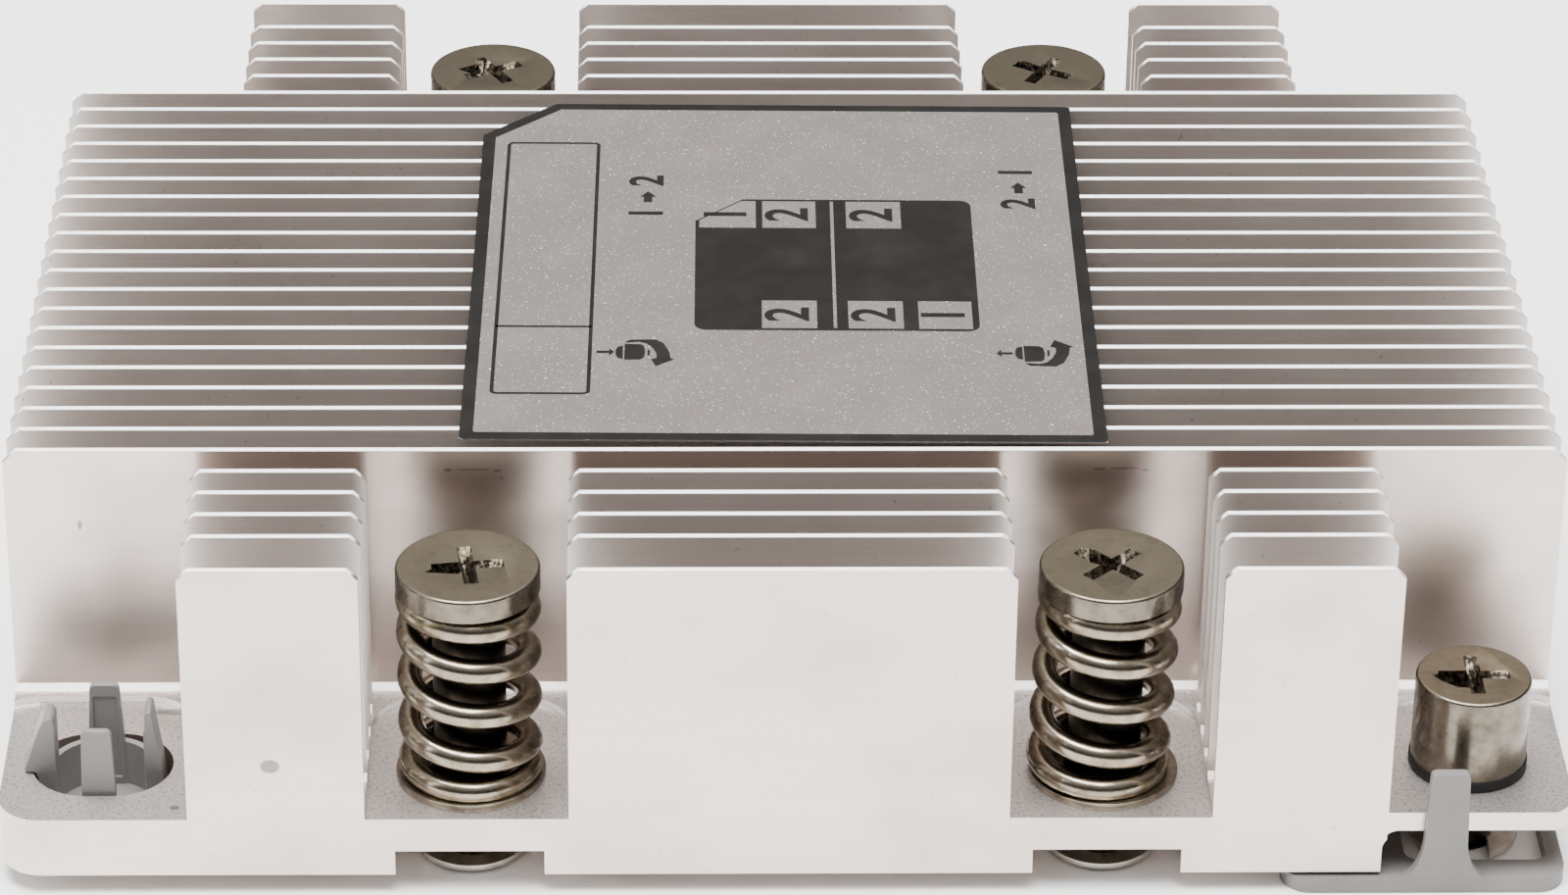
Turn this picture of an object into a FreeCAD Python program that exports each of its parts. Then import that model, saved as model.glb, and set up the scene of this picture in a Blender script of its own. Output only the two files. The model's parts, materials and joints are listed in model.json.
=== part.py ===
"""Passive server CPU heatsink with spring screws, captive corner screws and a plastic processor carrier.

Millimetres.  X runs along the fins, Y across them, Z up.  The origin is on the surface that the
carrier stands on, under the middle of the base.  The heatsink repeats itself by half a turn about Z.
"""
import FreeCAD, Part
import math
import os

import Sketcher

os.makedirs("parts", exist_ok=True)
doc = FreeCAD.newDocument("heatsink")
V = FreeCAD.Vector

# --------------------------------------------------------------------------- driving dimensions
DIMENSIONS = {
    # base and fins
    "base_length": 108.0,
    "foot_height": 1.5,        # underside of the base above the surface the carrier stands on
    "contact_rise": 0.4,       # machined contact face below the rest of the underside
    "contact_gap": 1.0,        # contact face to the edge of the carrier's window
    "base_thickness": 5.0,     # underside of the base to the floor between the fins
    "base_corner_radius": 3.0,
    "fin_pitch": 2.925,
    "fin_thickness": 0.47,
    "fin_rise": 19.25,         # floor between the fins to the fin tips
    "fin_root_flare": 0.45,    # a fin widens by this much each side as it meets the floor
    "even_fins": 28,           # fins at the even pitch
    "full_fins": 20,           # of those, the ones that keep their whole length
    "edge_fin_gap": 1.5,       # pitches from the last even fin to the fin on the base's edge
    "full_fin_chamfer": 1.0,
    "short_fin_chamfer": 0.8,
    # openings milled through the short fins
    "opening_inner_gap": 6.77,   # spring screw to the fin block between the two screws
    "opening_outer_gap": 7.1,    # spring screw to the fin block beside it
    "end_opening": 13.05,        # end of the base to the same fin block
    "pocket_depth": 0.5,
    "pocket_radius": 4.0,
    "pocket_margin": 1.05,     # floor left unmilled in front of the outermost full fin
    # spring screws
    "spring_screw_x": 21.8,
    "spring_screw_inset": 6.01,  # in from the long edge of the base
    "screw_head_radius": 4.93,
    "screw_head_height": 1.65,
    "screw_shank_radius": 2.5,
    "screw_hole_clearance": 0.3,
    "screw_end_height": 0.1,   # end of every screw above the standing surface
    "screw_bore_radius": 1.5,
    "screw_bore_depth": 7.0,
    "recess_arm_length": 2.45,
    "recess_arm_width": 1.0,
    "recess_depth": 1.5,
    "recess_taper": 0.36,      # each wall of the recess comes in by this much at the bottom
    # springs and washers
    "wire_thickness": 1.75,
    "spring_mean_radius": 4.1,
    "spring_length": 14.4,
    "spring_turns": 4.76,
    "ground_bottom": 0.45,     # middle of the wire above the washer, where the end is ground flat
    "ground_top": 0.6,         # the same below the screw's head
    "washer_radius": 5.15,
    "washer_bore_clearance": 0.25,
    "washer_thickness": 0.5,
    # retaining clips, in a groove near the end of each screw
    "clip_radius": 3.85,
    "clip_thickness": 0.45,
    "clip_height": 0.3,        # underside of a clip above the standing surface
    "clip_groove_depth": 0.45,
    "clip_side_clearance": 0.03,
    "clip_mouth_width": 3.0,
    # relief under each spring screw, open to the long edge of the base
    "relief_width": 10.2,
    "relief_depth": 1.9,
    # corners with a captive screw
    "corner_end_inset": 6.8,   # in from the end of the base
    "corner_edge_inset": 6.96, # in from the long edge of the base
    "cap_radius": 4.0,
    "cap_height": 6.3,
    "corner_shank_radius": 2.2,
    "corner_hole_clearance": 0.25,
    "corner_washer_radius": 4.1,
    "corner_washer_thickness": 0.8,
    "flange_thickness": 1.45,
    "flange_setback": 0.5,     # edge of the thin flange behind the edge of the base
    "flange_overlap": 0.3,     # thin flange begins this far under the fin block
    "flange_back_gap": 0.35,   # and this far in front of where the short fins are cut back
    "flange_fillet": 1.2,
    # corners with a slot for the snap post
    "slot_half_length": 4.85,
    "slot_half_width": 3.97,
    # plastic processor carrier
    "carrier_thickness": 1.2,
    "carrier_corner_gap": 5.2, # frame to the middle of a corner screw, along X
    "carrier_clip_gap": 1.75,  # frame to a spring screw's clip
    "carrier_side_rim": 6.0,
    "carrier_front_rim": 6.5,
    "carrier_corner_radius": 2.0,
    "latch_overlap": 8.0,      # latch corner laps the frame by this much
    "latch_end_setback": 0.45, # behind the end of the base
    "latch_proud": 0.39,       # in front of the long edge of the base
    "latch_clip_gap": 0.5,
    "latch_rim": 2.3,
    "latch_side_rim": 1.1,
    "latch_inner_rim": 3.4,
    "tab_offset": 2.2,         # middle of the tab to the corner screw
    "tab_half_width": 1.3,
    "tab_spread": 0.2,
    "tab_flare": 1.5,
    "tab_top": 9.9,
    "tab_clearance": 0.1,
    "tab_hook_reach": 0.6,
    "tab_hook_height": 1.6,
    "hook_clearance": 0.1,
    "post_pad_radius": 4.3,
    "post_pad_reach": 11.2,    # middle of the post to the inner end of its pad
    "post_ring_outer": 3.8,
    "post_ring_wall": 0.7,
    "post_ring_top": 5.9,
    "post_ring_floor": 2.4,
    "finger_width": 2.25,
    "finger_inner": 3.1,
    "finger_tip_thickness": 0.5,
    "side_finger_root": 1.25,
    "end_finger_root": 0.55,
    "finger_taper_height": 7.0,
    "left_finger_top": 10.9,
    "right_finger_top": 11.4,
    "front_finger_top": 11.2,
    "back_finger_top": 10.5,
    "finger_hook_overlap": 0.25,
    "finger_hook_height": 0.8,
    # label on the fin tips
    "label_length": 45.3,
    "label_width": 52.1,
    "label_x": 0.1,
    "label_y": -0.4,
    "label_corner": 5.4,
    "label_thickness": 0.15,
}

sheet = doc.addObject("Spreadsheet::Sheet", "dims")
for row, (alias, size) in enumerate(DIMENSIONS.items(), start=1):
    sheet.set(f"A{row}", alias)
    sheet.set(f"B{row}", str(size))
    sheet.setAlias(f"B{row}", alias)
doc.recompute()

# Heights and places that several pieces share, each worked out from the sheet.
FLOOR = "(dims.foot_height + dims.base_thickness)"
POCKET_FLOOR = "(dims.foot_height + dims.base_thickness - dims.pocket_depth)"
FIN_TOP = "(dims.foot_height + dims.base_thickness + dims.fin_rise)"
LAST_EVEN_FIN = "((dims.even_fins - 1) / 2 * dims.fin_pitch)"
EDGE_FIN = "(((dims.even_fins - 1) / 2 + dims.edge_fin_gap) * dims.fin_pitch)"
HALF_DEPTH = f"({EDGE_FIN} + dims.fin_thickness / 2)"
LAST_FULL_FACE = "((dims.full_fins - 1) / 2 * dims.fin_pitch + dims.fin_thickness / 2)"
CUT_BACK = "(dims.full_fins / 2 * dims.fin_pitch)"
POCKET_BACK = f"({LAST_FULL_FACE} + dims.pocket_margin)"
HALF_LENGTH = "(dims.base_length / 2)"
SPRING_SCREW_Y = f"({HALF_DEPTH} - dims.spring_screw_inset)"
CORNER_X = f"({HALF_LENGTH} - dims.corner_end_inset)"
CORNER_Y = f"({HALF_DEPTH} - dims.corner_edge_inset)"
MIDDLE_BLOCK_HALF = "(dims.spring_screw_x - dims.opening_inner_gap)"
SIDE_BLOCK_INNER = "(dims.spring_screw_x + dims.opening_outer_gap)"
SIDE_BLOCK_OUTER = f"({HALF_LENGTH} - dims.end_opening)"
FLANGE_INNER_X = f"({SIDE_BLOCK_OUTER} - dims.flange_overlap)"
FLANGE_INNER_Y = f"({CUT_BACK} + dims.flange_back_gap)"
CARRIER_HALF_LENGTH = f"({CORNER_X} - dims.carrier_corner_gap)"
CARRIER_HALF_WIDTH = f"({SPRING_SCREW_Y} - dims.clip_radius - dims.carrier_clip_gap)"
WINDOW_HALF_LENGTH = f"({CARRIER_HALF_LENGTH} - dims.carrier_side_rim)"
WINDOW_HALF_WIDTH = f"({CARRIER_HALF_WIDTH} - dims.carrier_front_rim)"
SCREW_WINDOW_BACK = f"({CORNER_Y} - dims.clip_radius - dims.latch_clip_gap)"
LATCH_BACK = f"({SCREW_WINDOW_BACK} - dims.latch_inner_rim)"
LATCH_FRONT = f"({HALF_DEPTH} + dims.latch_proud)"
LATCH_OUTER_X = f"({HALF_LENGTH} - dims.latch_end_setback)"
HEAD_UNDERSIDE = f"({POCKET_FLOOR} + dims.washer_thickness + dims.spring_length)"
CAP_UNDERSIDE = f"({POCKET_FLOOR} + dims.corner_washer_thickness)"
HALF_TURN = 180.0
FULL_TURN = 360.0
BEYOND = 5.0               # how far a cut runs past the solid, so that it leaves no skin
ROUND_END_FLAT = 0.01      # straight left between the two arcs of a round end, so that no edge is empty
STEPS_PER_TURN = 10        # sections of a spring's wire in one turn
WIRE_SIDES = 6             # flats that stand for the round wire
CORNERS = {"front_right": (1, -1), "back_left": (-1, 1)}
SCREW_PLACES = {"front_left": (-1, -1), "front_right": (1, -1), "back_right": (1, 1), "back_left": (-1, 1)}


def size(expression):
    """Value of an expression over the sheet, in millimetres or as a plain number."""
    value = sheet.evalExpression(str(expression))
    return float(getattr(value, "Value", value))


# --------------------------------------------------------------------------- sketch helpers
def new_body(name, x="0", y="0", turn=0.0):
    """A body placed in plan at (x, y) and turned about Z by some degrees."""
    body = doc.addObject("PartDesign::Body", name)
    body.Label = name
    body.Placement = FreeCAD.Placement(V(), FreeCAD.Rotation(V(0, 0, 1), turn))
    body.setExpression("Placement.Base.x", x)
    body.setExpression("Placement.Base.y", y)
    return body


def origin_feature(body, role):
    return next(f for f in body.Origin.OriginFeatures if f.Role == role)


def new_sketch(body, name, role="XY_Plane", offset="0"):
    """A sketch on one of the body's own origin planes, moved along that plane's normal."""
    sketch = body.newObject("Sketcher::SketchObject", name)
    sketch.AttachmentSupport = (origin_feature(body, role), [""])
    sketch.MapMode = "FlatFace"
    sketch.setExpression("AttachmentOffset.Base.z", offset)
    return sketch


def outline(sketch, corners):
    """A closed outline.  Each corner is (x, y) or (x, y, radius), given as expressions."""
    points = [V(size(c[0]), size(c[1]), 0) for c in corners]
    radii = [size(c[2]) if len(c) > 2 else 0.0 for c in corners]
    count = len(points)
    trims = []
    for i, point in enumerate(points):
        before = (points[i - 1] - point).normalize()
        after = (points[(i + 1) % count] - point).normalize()
        cut = radii[i] / math.tan(before.getAngle(after) / 2) if radii[i] else 0.0
        trims.append((point + before * cut, point + after * cut, before, after))
    first = sketch.GeometryCount
    lines = [Part.LineSegment(trims[i][1], trims[(i + 1) % count][0]) for i in range(count)]
    sketch.addGeometry(lines, False)
    for i in range(count):
        line_in, line_out = first + (i - 1) % count, first + i
        x, y = corners[i][0], corners[i][1]
        if not radii[i]:
            sketch.addConstraint(Sketcher.Constraint("Coincident", line_in, 2, line_out, 1))
            fix_point(sketch, line_out, 1, x, y)
            continue
        start, end, before, after = trims[i]
        middle = (before + after).normalize()
        centre = points[i] + middle * (radii[i] / math.sin(before.getAngle(after) / 2))
        arc = sketch.addGeometry(Part.Arc(start, centre - middle * radii[i], end), False)
        start_pos = 1 if sketch.Geometry[arc].StartPoint.distanceToPoint(start) < radii[i] / 1000 else 2
        corner = sketch.addGeometry(Part.Point(points[i]), True)
        radius = sketch.addConstraint([
            Sketcher.Constraint("Tangent", line_in, 2, arc, start_pos),
            Sketcher.Constraint("Tangent", line_out, 1, arc, 3 - start_pos),
            Sketcher.Constraint("PointOnObject", corner, 1, line_in),
            Sketcher.Constraint("PointOnObject", corner, 1, line_out),
            Sketcher.Constraint("Radius", arc, radii[i]),
        ])[-1]
        sketch.setExpression(f"Constraints[{radius}]", str(corners[i][2]))
        fix_point(sketch, corner, 1, x, y)


def fix_point(sketch, geometry, end, x, y):
    """Ties a point of the sketch to its place from the sketch's origin."""
    for kind, value in (("DistanceX", x), ("DistanceY", y)):
        index = sketch.addConstraint(Sketcher.Constraint(kind, -1, 1, geometry, end, size(value)))
        sketch.setExpression(f"Constraints[{index}]", str(value))


def circle(sketch, x, y, radius):
    round_edge = sketch.addGeometry(Part.Circle(V(size(x), size(y), 0), V(0, 0, 1), size(radius)), False)
    index = sketch.addConstraint(Sketcher.Constraint("Radius", round_edge, size(radius)))
    sketch.setExpression(f"Constraints[{index}]", str(radius))
    fix_point(sketch, round_edge, 3, x, y)


def rectangle(sketch, x_low, x_high, y_low, y_high, radius=None):
    rounding = () if radius is None else (radius,)
    outline(sketch, [(x, y) + rounding for x, y in (
        (x_low, y_low), (x_high, y_low), (x_high, y_high), (x_low, y_high))])


# --------------------------------------------------------------------------- feature helpers
def pad(body, name, sketch, length, midplane=False, reverse=False):
    feature = body.newObject("PartDesign::Pad", name)
    feature.Profile = sketch
    feature.SideType = "Symmetric" if midplane else "One side"
    feature.Reversed = reverse
    feature.setExpression("Length", length)
    return feature


def pocket(body, name, sketch, length, midplane=False, reverse=False):
    """Cuts the sketch away, and fails if nothing was removed."""
    doc.recompute()
    before = body.Shape.Volume
    feature = body.newObject("PartDesign::Pocket", name)
    feature.Profile = sketch
    feature.SideType = "Symmetric" if midplane else "One side"
    feature.Reversed = reverse
    feature.setExpression("Length", length)
    doc.recompute()
    if not feature.Shape.Volume < before:
        raise RuntimeError(f"{name} cuts nothing")
    return feature


def revolve(body, name, profile):
    """Turns an outline of (radius, height) corners about the body's Z axis."""
    sketch = new_sketch(body, name + "_profile", "XZ_Plane")
    outline(sketch, profile)
    feature = body.newObject("PartDesign::Revolution", name)
    feature.Profile = sketch
    feature.ReferenceAxis = (sketch, ["V_Axis"])
    feature.Angle = FULL_TURN
    return feature


def repeat_half_turn(body, name, features):
    """Repeats features half a turn about Z."""
    pattern = body.newObject("PartDesign::PolarPattern", name)
    pattern.Originals = features
    pattern.Axis = (origin_feature(body, "Z_Axis"), [""])
    pattern.Angle = FULL_TURN
    pattern.Occurrences = 2
    body.Tip = pattern
    return pattern


# --------------------------------------------------------------------------- extruded aluminium body
def fin_profile(sketch, place, flared_sides=(-1, 1)):
    """Section of one fin across its length.  It starts inside the base and is flared where it leaves
    the floor."""
    corners = []
    for side in (-1, 1):
        face = f"({place} + {side} * dims.fin_thickness / 2)"
        flare = f"({face} + {side} * dims.fin_root_flare)"
        rising = [(face, POCKET_FLOOR), (face, FIN_TOP)]
        if side in flared_sides:
            rising = [(flare, POCKET_FLOOR), (flare, FLOOR), (face, f"({FLOOR} + dims.fin_root_flare)"),
                      (face, FIN_TOP)]
        corners += rising if side > 0 else rising[::-1]
    outline(sketch, corners)


def make_heatsink_body():
    body = new_body("heatsink_body")

    plan = new_sketch(body, "base_plan", offset="dims.foot_height")
    rectangle(plan, f"-{HALF_LENGTH}", HALF_LENGTH, f"-{HALF_DEPTH}", HALF_DEPTH, "dims.base_corner_radius")
    pad(body, "base_plate", plan, "dims.base_thickness")

    contact = new_sketch(body, "contact_plan", offset="(dims.foot_height - dims.contact_rise)")
    length, width = f"({WINDOW_HALF_LENGTH} - dims.contact_gap)", f"({WINDOW_HALF_WIDTH} - dims.contact_gap)"
    rectangle(contact, f"-{length}", length, f"-{width}", width, "dims.carrier_corner_radius")
    pad(body, "contact_face", contact, "dims.contact_rise")

    fin_sketch = new_sketch(body, "even_fin_section", "YZ_Plane")
    fin_profile(fin_sketch, f"-{LAST_EVEN_FIN}")
    fin = pad(body, "even_fin", fin_sketch, "dims.base_length", midplane=True)
    fins = body.newObject("PartDesign::LinearPattern", "even_fins")
    fins.Originals = [fin]
    fins.Direction = (origin_feature(body, "Y_Axis"), [""])
    fins.setExpression("Length", f"2 * {LAST_EVEN_FIN}")
    fins.setExpression("Occurrences", "dims.even_fins")
    body.Tip = fins

    edge_sketch = new_sketch(body, "edge_fin_section", "YZ_Plane")
    fin_profile(edge_sketch, f"-{EDGE_FIN}", flared_sides=(1,))
    edge_fin = pad(body, "edge_fin", edge_sketch, f"2 * {SIDE_BLOCK_OUTER}", midplane=True)
    repeat_half_turn(body, "edge_fins", [edge_fin])

    ends = new_sketch(body, "full_fin_ends", "XZ_Plane")
    for side in (-1, 1):
        edge, out = f"({side} * {HALF_LENGTH})", f"{side} * dims.full_fin_chamfer"
        outline(ends, [(f"({edge} - {out})", FIN_TOP), (f"({edge} + {out})", FIN_TOP),
                       (f"({edge} + {out})", f"({FIN_TOP} - 2 * dims.full_fin_chamfer)")])
    pocket(body, "full_fin_chamfers", ends, f"2 * {HALF_DEPTH}", midplane=True)

    outside = f"({HALF_LENGTH} + dims.pocket_radius / 2)"
    openings = ((f"-{outside}", f"-{SIDE_BLOCK_OUTER}"), (f"-{SIDE_BLOCK_INNER}", f"-{MIDDLE_BLOCK_HALF}"),
                (MIDDLE_BLOCK_HALF, SIDE_BLOCK_INNER), (SIDE_BLOCK_OUTER, outside))
    notches = new_sketch(body, "notch_plan", offset=FLOOR)
    floors = new_sketch(body, "floor_plan", offset=FLOOR)
    for low, high in openings:
        rectangle(notches, low, high, f"-({HALF_DEPTH} + {BEYOND})", f"-{CUT_BACK}")
        front = f"-({HALF_DEPTH} + {BEYOND} + dims.pocket_radius)"
        rectangle(floors, low, high, front, f"-{POCKET_BACK}", "dims.pocket_radius")
    cuts = [pocket(body, "notches", notches, f"dims.fin_rise + {BEYOND}", reverse=True),
            pocket(body, "pocket_floors", floors, "dims.pocket_depth")]

    fin_ends = new_sketch(body, "short_fin_ends", "XZ_Plane", offset=CUT_BACK)
    for edge, side in ((SIDE_BLOCK_OUTER, 1), (SIDE_BLOCK_INNER, -1), (MIDDLE_BLOCK_HALF, 1)):
        for hand in (-1, 1):
            corner = f"({hand} * {edge})"
            out = f"{hand * side} * dims.short_fin_chamfer"
            outline(fin_ends, [(f"({corner} - {out})", FIN_TOP), (f"({corner} + {out})", FIN_TOP),
                               (f"({corner} + {out})", f"({FIN_TOP} - 2 * dims.short_fin_chamfer)")])
    cuts.append(pocket(body, "short_fin_chamfers", fin_ends, f"{HALF_DEPTH} - {CUT_BACK} + {BEYOND}",
                       reverse=True))

    for name, hand in (("left", -1), ("right", 1)):
        middle = f"({hand} * dims.spring_screw_x)"
        relief = new_sketch(body, name + "_relief_plan", offset="dims.foot_height")
        half = "dims.relief_width / 2"
        rectangle(relief, f"({middle} - {half})", f"({middle} + {half})",
                  f"-({HALF_DEPTH} + dims.relief_width)", f"-({SPRING_SCREW_Y} - {half})",
                  f"({half} - {ROUND_END_FLAT})")
        cuts.append(pocket(body, name + "_relief", relief, "dims.relief_depth", reverse=True))

    under_flange = new_sketch(body, "under_flange_section", "XZ_Plane", offset=FLANGE_INNER_Y)
    low, high = f"(dims.foot_height - {BEYOND})", f"({POCKET_FLOOR} - dims.flange_thickness)"
    outline(under_flange, [(FLANGE_INNER_X, low), (outside, low), (outside, high),
                           (FLANGE_INNER_X, high, "dims.flange_fillet")])
    cuts.append(pocket(body, "under_flange", under_flange, f"{HALF_DEPTH} - {FLANGE_INNER_Y} + {BEYOND}",
                       reverse=True))
    setback = new_sketch(body, "flange_edge_plan", offset="dims.foot_height")
    rectangle(setback, SIDE_BLOCK_OUTER, outside, f"-({HALF_DEPTH} + {BEYOND})",
              f"-({HALF_DEPTH} - dims.flange_setback)")
    cuts.append(pocket(body, "flange_edge", setback, "dims.base_thickness", reverse=True))

    holes = new_sketch(body, "hole_plan", offset="dims.foot_height")
    for hand in (-1, 1):
        circle(holes, f"({hand} * dims.spring_screw_x)", f"-{SPRING_SCREW_Y}",
               "(dims.screw_shank_radius + dims.screw_hole_clearance)")
    circle(holes, CORNER_X, f"-{CORNER_Y}", "(dims.corner_shank_radius + dims.corner_hole_clearance)")
    rectangle(holes, f"(-{CORNER_X} - dims.slot_half_length)", f"(-{CORNER_X} + dims.slot_half_length)",
              f"(-{CORNER_Y} - dims.slot_half_width)", f"(-{CORNER_Y} + dims.slot_half_width)",
              f"(dims.slot_half_width - {ROUND_END_FLAT})")
    cuts.append(pocket(body, "holes", holes, "dims.base_thickness", reverse=True))
    repeat_half_turn(body, "half_turn", cuts)
    return body


# --------------------------------------------------------------------------- screws
def cross(sketch, inset):
    """Outline of the cross recess, each wall moved in by the inset."""
    arm, half = f"(dims.recess_arm_length - {inset})", f"(dims.recess_arm_width / 2 - {inset})"
    corners = []
    for x_side, y_side in ((1, 1), (-1, 1), (-1, -1), (1, -1)):
        quarter = [(f"({x_side} * {arm})", f"({y_side} * {half})"),
                   (f"({x_side} * {half})", f"({y_side} * {half})"),
                   (f"({x_side} * {half})", f"({y_side} * {arm})")]
        corners += quarter if x_side * y_side > 0 else quarter[::-1]
    outline(sketch, corners)


def cut_recess(body, top):
    """Tapered cross recess, sunk from the head's top face."""
    mouth = new_sketch(body, "recess_mouth", offset=top)
    cross(mouth, "0")
    bottom = new_sketch(body, "recess_bottom", offset=f"({top} - dims.recess_depth)")
    cross(bottom, "dims.recess_taper")
    doc.recompute()
    blank_volume = body.Shape.Volume
    recess = body.newObject("PartDesign::SubtractiveLoft", "recess")
    recess.Profile = mouth
    recess.Sections = [bottom]
    recess.Ruled = True
    doc.recompute()
    if not recess.Shape.Volume < blank_volume:
        raise RuntimeError("recess cuts nothing")


def shank_profile(radius, underside):
    """Corners of a screw's shank from its axis up to the head, with the clip's groove."""
    groove = f"({radius} - dims.clip_groove_depth)"
    low = "(dims.clip_height - dims.clip_side_clearance)"
    high = "(dims.clip_height + dims.clip_thickness + dims.clip_side_clearance)"
    return [
        ("0", "(dims.screw_end_height + dims.screw_bore_depth)"),
        ("dims.screw_bore_radius", "(dims.screw_end_height + dims.screw_bore_depth)"),
        ("dims.screw_bore_radius", "dims.screw_end_height"),
        (radius, "dims.screw_end_height"),
        (radius, low),
        (groove, low),
        (groove, high),
        (radius, high),
        (radius, underside),
    ]


def make_spring_screw(name, x, y, turn):
    body = new_body(name, x, y, turn)
    top = f"({HEAD_UNDERSIDE} + dims.screw_head_height)"
    revolve(body, "turned_blank", shank_profile("dims.screw_shank_radius", HEAD_UNDERSIDE) + [
        ("dims.screw_head_radius", HEAD_UNDERSIDE),
        ("dims.screw_head_radius", top),
        ("0", top),
    ])
    cut_recess(body, top)
    return body


def make_corner_screw(name, x, y, turn):
    body = new_body(name, x, y, turn)
    top = f"({CAP_UNDERSIDE} + dims.cap_height)"
    revolve(body, "turned_blank", shank_profile("dims.corner_shank_radius", CAP_UNDERSIDE) + [
        ("dims.cap_radius", CAP_UNDERSIDE),
        ("dims.cap_radius", top),
        ("0", top),
    ])
    cut_recess(body, top)
    return body


def make_ring(name, x, y, outer, inner, bottom, thickness):
    body = new_body(name, x, y)
    plan = new_sketch(body, "plan", offset=bottom)
    circle(plan, "0", "0", outer)
    circle(plan, "0", "0", inner)
    pad(body, "ring", plan, thickness)
    return body


def make_clip(name, x, y, shank_radius, turn):
    """Open retaining ring; its mouth looks along the body's own +Y before the body is turned."""
    body = new_body(name, x, y, turn)
    plan = new_sketch(body, "plan", offset="dims.clip_height")
    circle(plan, "0", "0", "dims.clip_radius")
    circle(plan, "0", "0", f"({shank_radius} - dims.clip_groove_depth + dims.clip_side_clearance)")
    pad(body, "ring", plan, "dims.clip_thickness")
    mouth = new_sketch(body, "mouth_plan", offset="dims.clip_height")
    half = "dims.clip_mouth_width / 2"
    rectangle(mouth, f"(-{half})", f"({half})", "0", "(2 * dims.clip_radius)")
    pocket(body, "mouth", mouth, "dims.clip_thickness", reverse=True)
    return body


def flat_sided_bar(sections):
    """Solid bar through closed sections of equally many corners, with two flat triangles to each side."""
    faces = [Part.Face(Part.makePolygon(end)) for end in (sections[0], sections[-1])]
    for near, far in zip(sections, sections[1:]):
        for i in range(len(near) - 1):
            for a, b, c in ((near[i], far[i], far[i + 1]), (near[i], far[i + 1], near[i + 1])):
                faces.append(Part.Face(Part.makePolygon([a, b, c, a])))
    bar = Part.makeSolid(Part.makeShell(faces))
    if bar.Volume < 0:
        bar.reverse()
    return bar


def make_spring(name, x, y, turn):
    """Left-handed compression spring with ground ends.  Its pitch grows over the first turn and dies
    away over the last."""
    turns = size("dims.spring_turns")
    radius = size("dims.spring_mean_radius")
    wire_radius = size("dims.wire_thickness / 2")
    seat = size(f"{POCKET_FLOOR} + dims.washer_thickness")
    top = size(HEAD_UNDERSIDE)
    low = seat + size("dims.ground_bottom")
    pitch = (top - size("dims.ground_top") - low) / (turns - 1)
    steps = round(turns * STEPS_PER_TURN)

    def height(turned):
        climb = min(turned, 1.0) ** 2 / 2 + max(turned - 1.0, 0.0)
        return low + pitch * (climb - max(turned - (turns - 1.0), 0.0) ** 2 / 2)

    sections = []
    for step in range(steps + 1):
        turned = turns * step / steps
        along = -2 * math.pi * turned
        rim = []
        for side in range(WIRE_SIDES + 1):
            around = 2 * math.pi * (side + 0.5) / WIRE_SIDES
            out = radius + wire_radius * math.cos(around)
            ground = min(max(height(turned) + wire_radius * math.sin(around), seat), top)
            rim.append(V(out * math.cos(along), out * math.sin(along), ground))
        sections.append(rim)
    feature = doc.addObject("Part::Feature", name)
    feature.Label = name
    feature.Shape = flat_sided_bar(sections)
    feature.Placement = FreeCAD.Placement(V(size(x), size(y), 0), FreeCAD.Rotation(V(0, 0, 1), turn))
    return feature


# --------------------------------------------------------------------------- plastic processor carrier
FINGERS = {"left": ("x", -1), "right": ("x", 1), "front": ("y", -1), "back": ("y", 1)}
HOOKED_FINGER = "left"


def make_finger(body, side):
    """One finger of the snap post at the front left.  The hooked one bites over the edge of the slot."""
    axis, sign = FINGERS[side]
    if axis == "x":
        # the XZ plane looks along -Y
        plane, along, root_thickness = "XZ_Plane", CORNER_X, "dims.side_finger_root"
        offset = f"({CORNER_Y} - dims.finger_width / 2)"
    else:
        # the YZ plane looks along +X
        plane, along, root_thickness = "YZ_Plane", CORNER_Y, "dims.end_finger_root"
        offset = f"(-{CORNER_X} - dims.finger_width / 2)"

    def out(distance):
        return f"(-{along} + {sign} * ({distance}))"

    root = f"dims.finger_inner + {root_thickness}"
    top = f"dims.{side}_finger_top"
    profile = [(out("dims.finger_inner"), "0"), (out(root), "0")]
    if side == HOOKED_FINGER:
        hook = f"({POCKET_FLOOR} + dims.hook_clearance)"
        profile += [(out(root), hook), (out("dims.slot_half_length + dims.finger_hook_overlap"), hook),
                    (out(root), f"({hook} + dims.finger_hook_height)")]
    else:
        profile.append((out(root), "dims.finger_taper_height"))
    profile += [(out("dims.finger_inner + dims.finger_tip_thickness"), top), (out("dims.finger_inner"), top)]
    section = new_sketch(body, side + "_finger_section", plane, offset)
    outline(section, profile)
    return pad(body, side + "_finger", section, "dims.finger_width")


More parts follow.
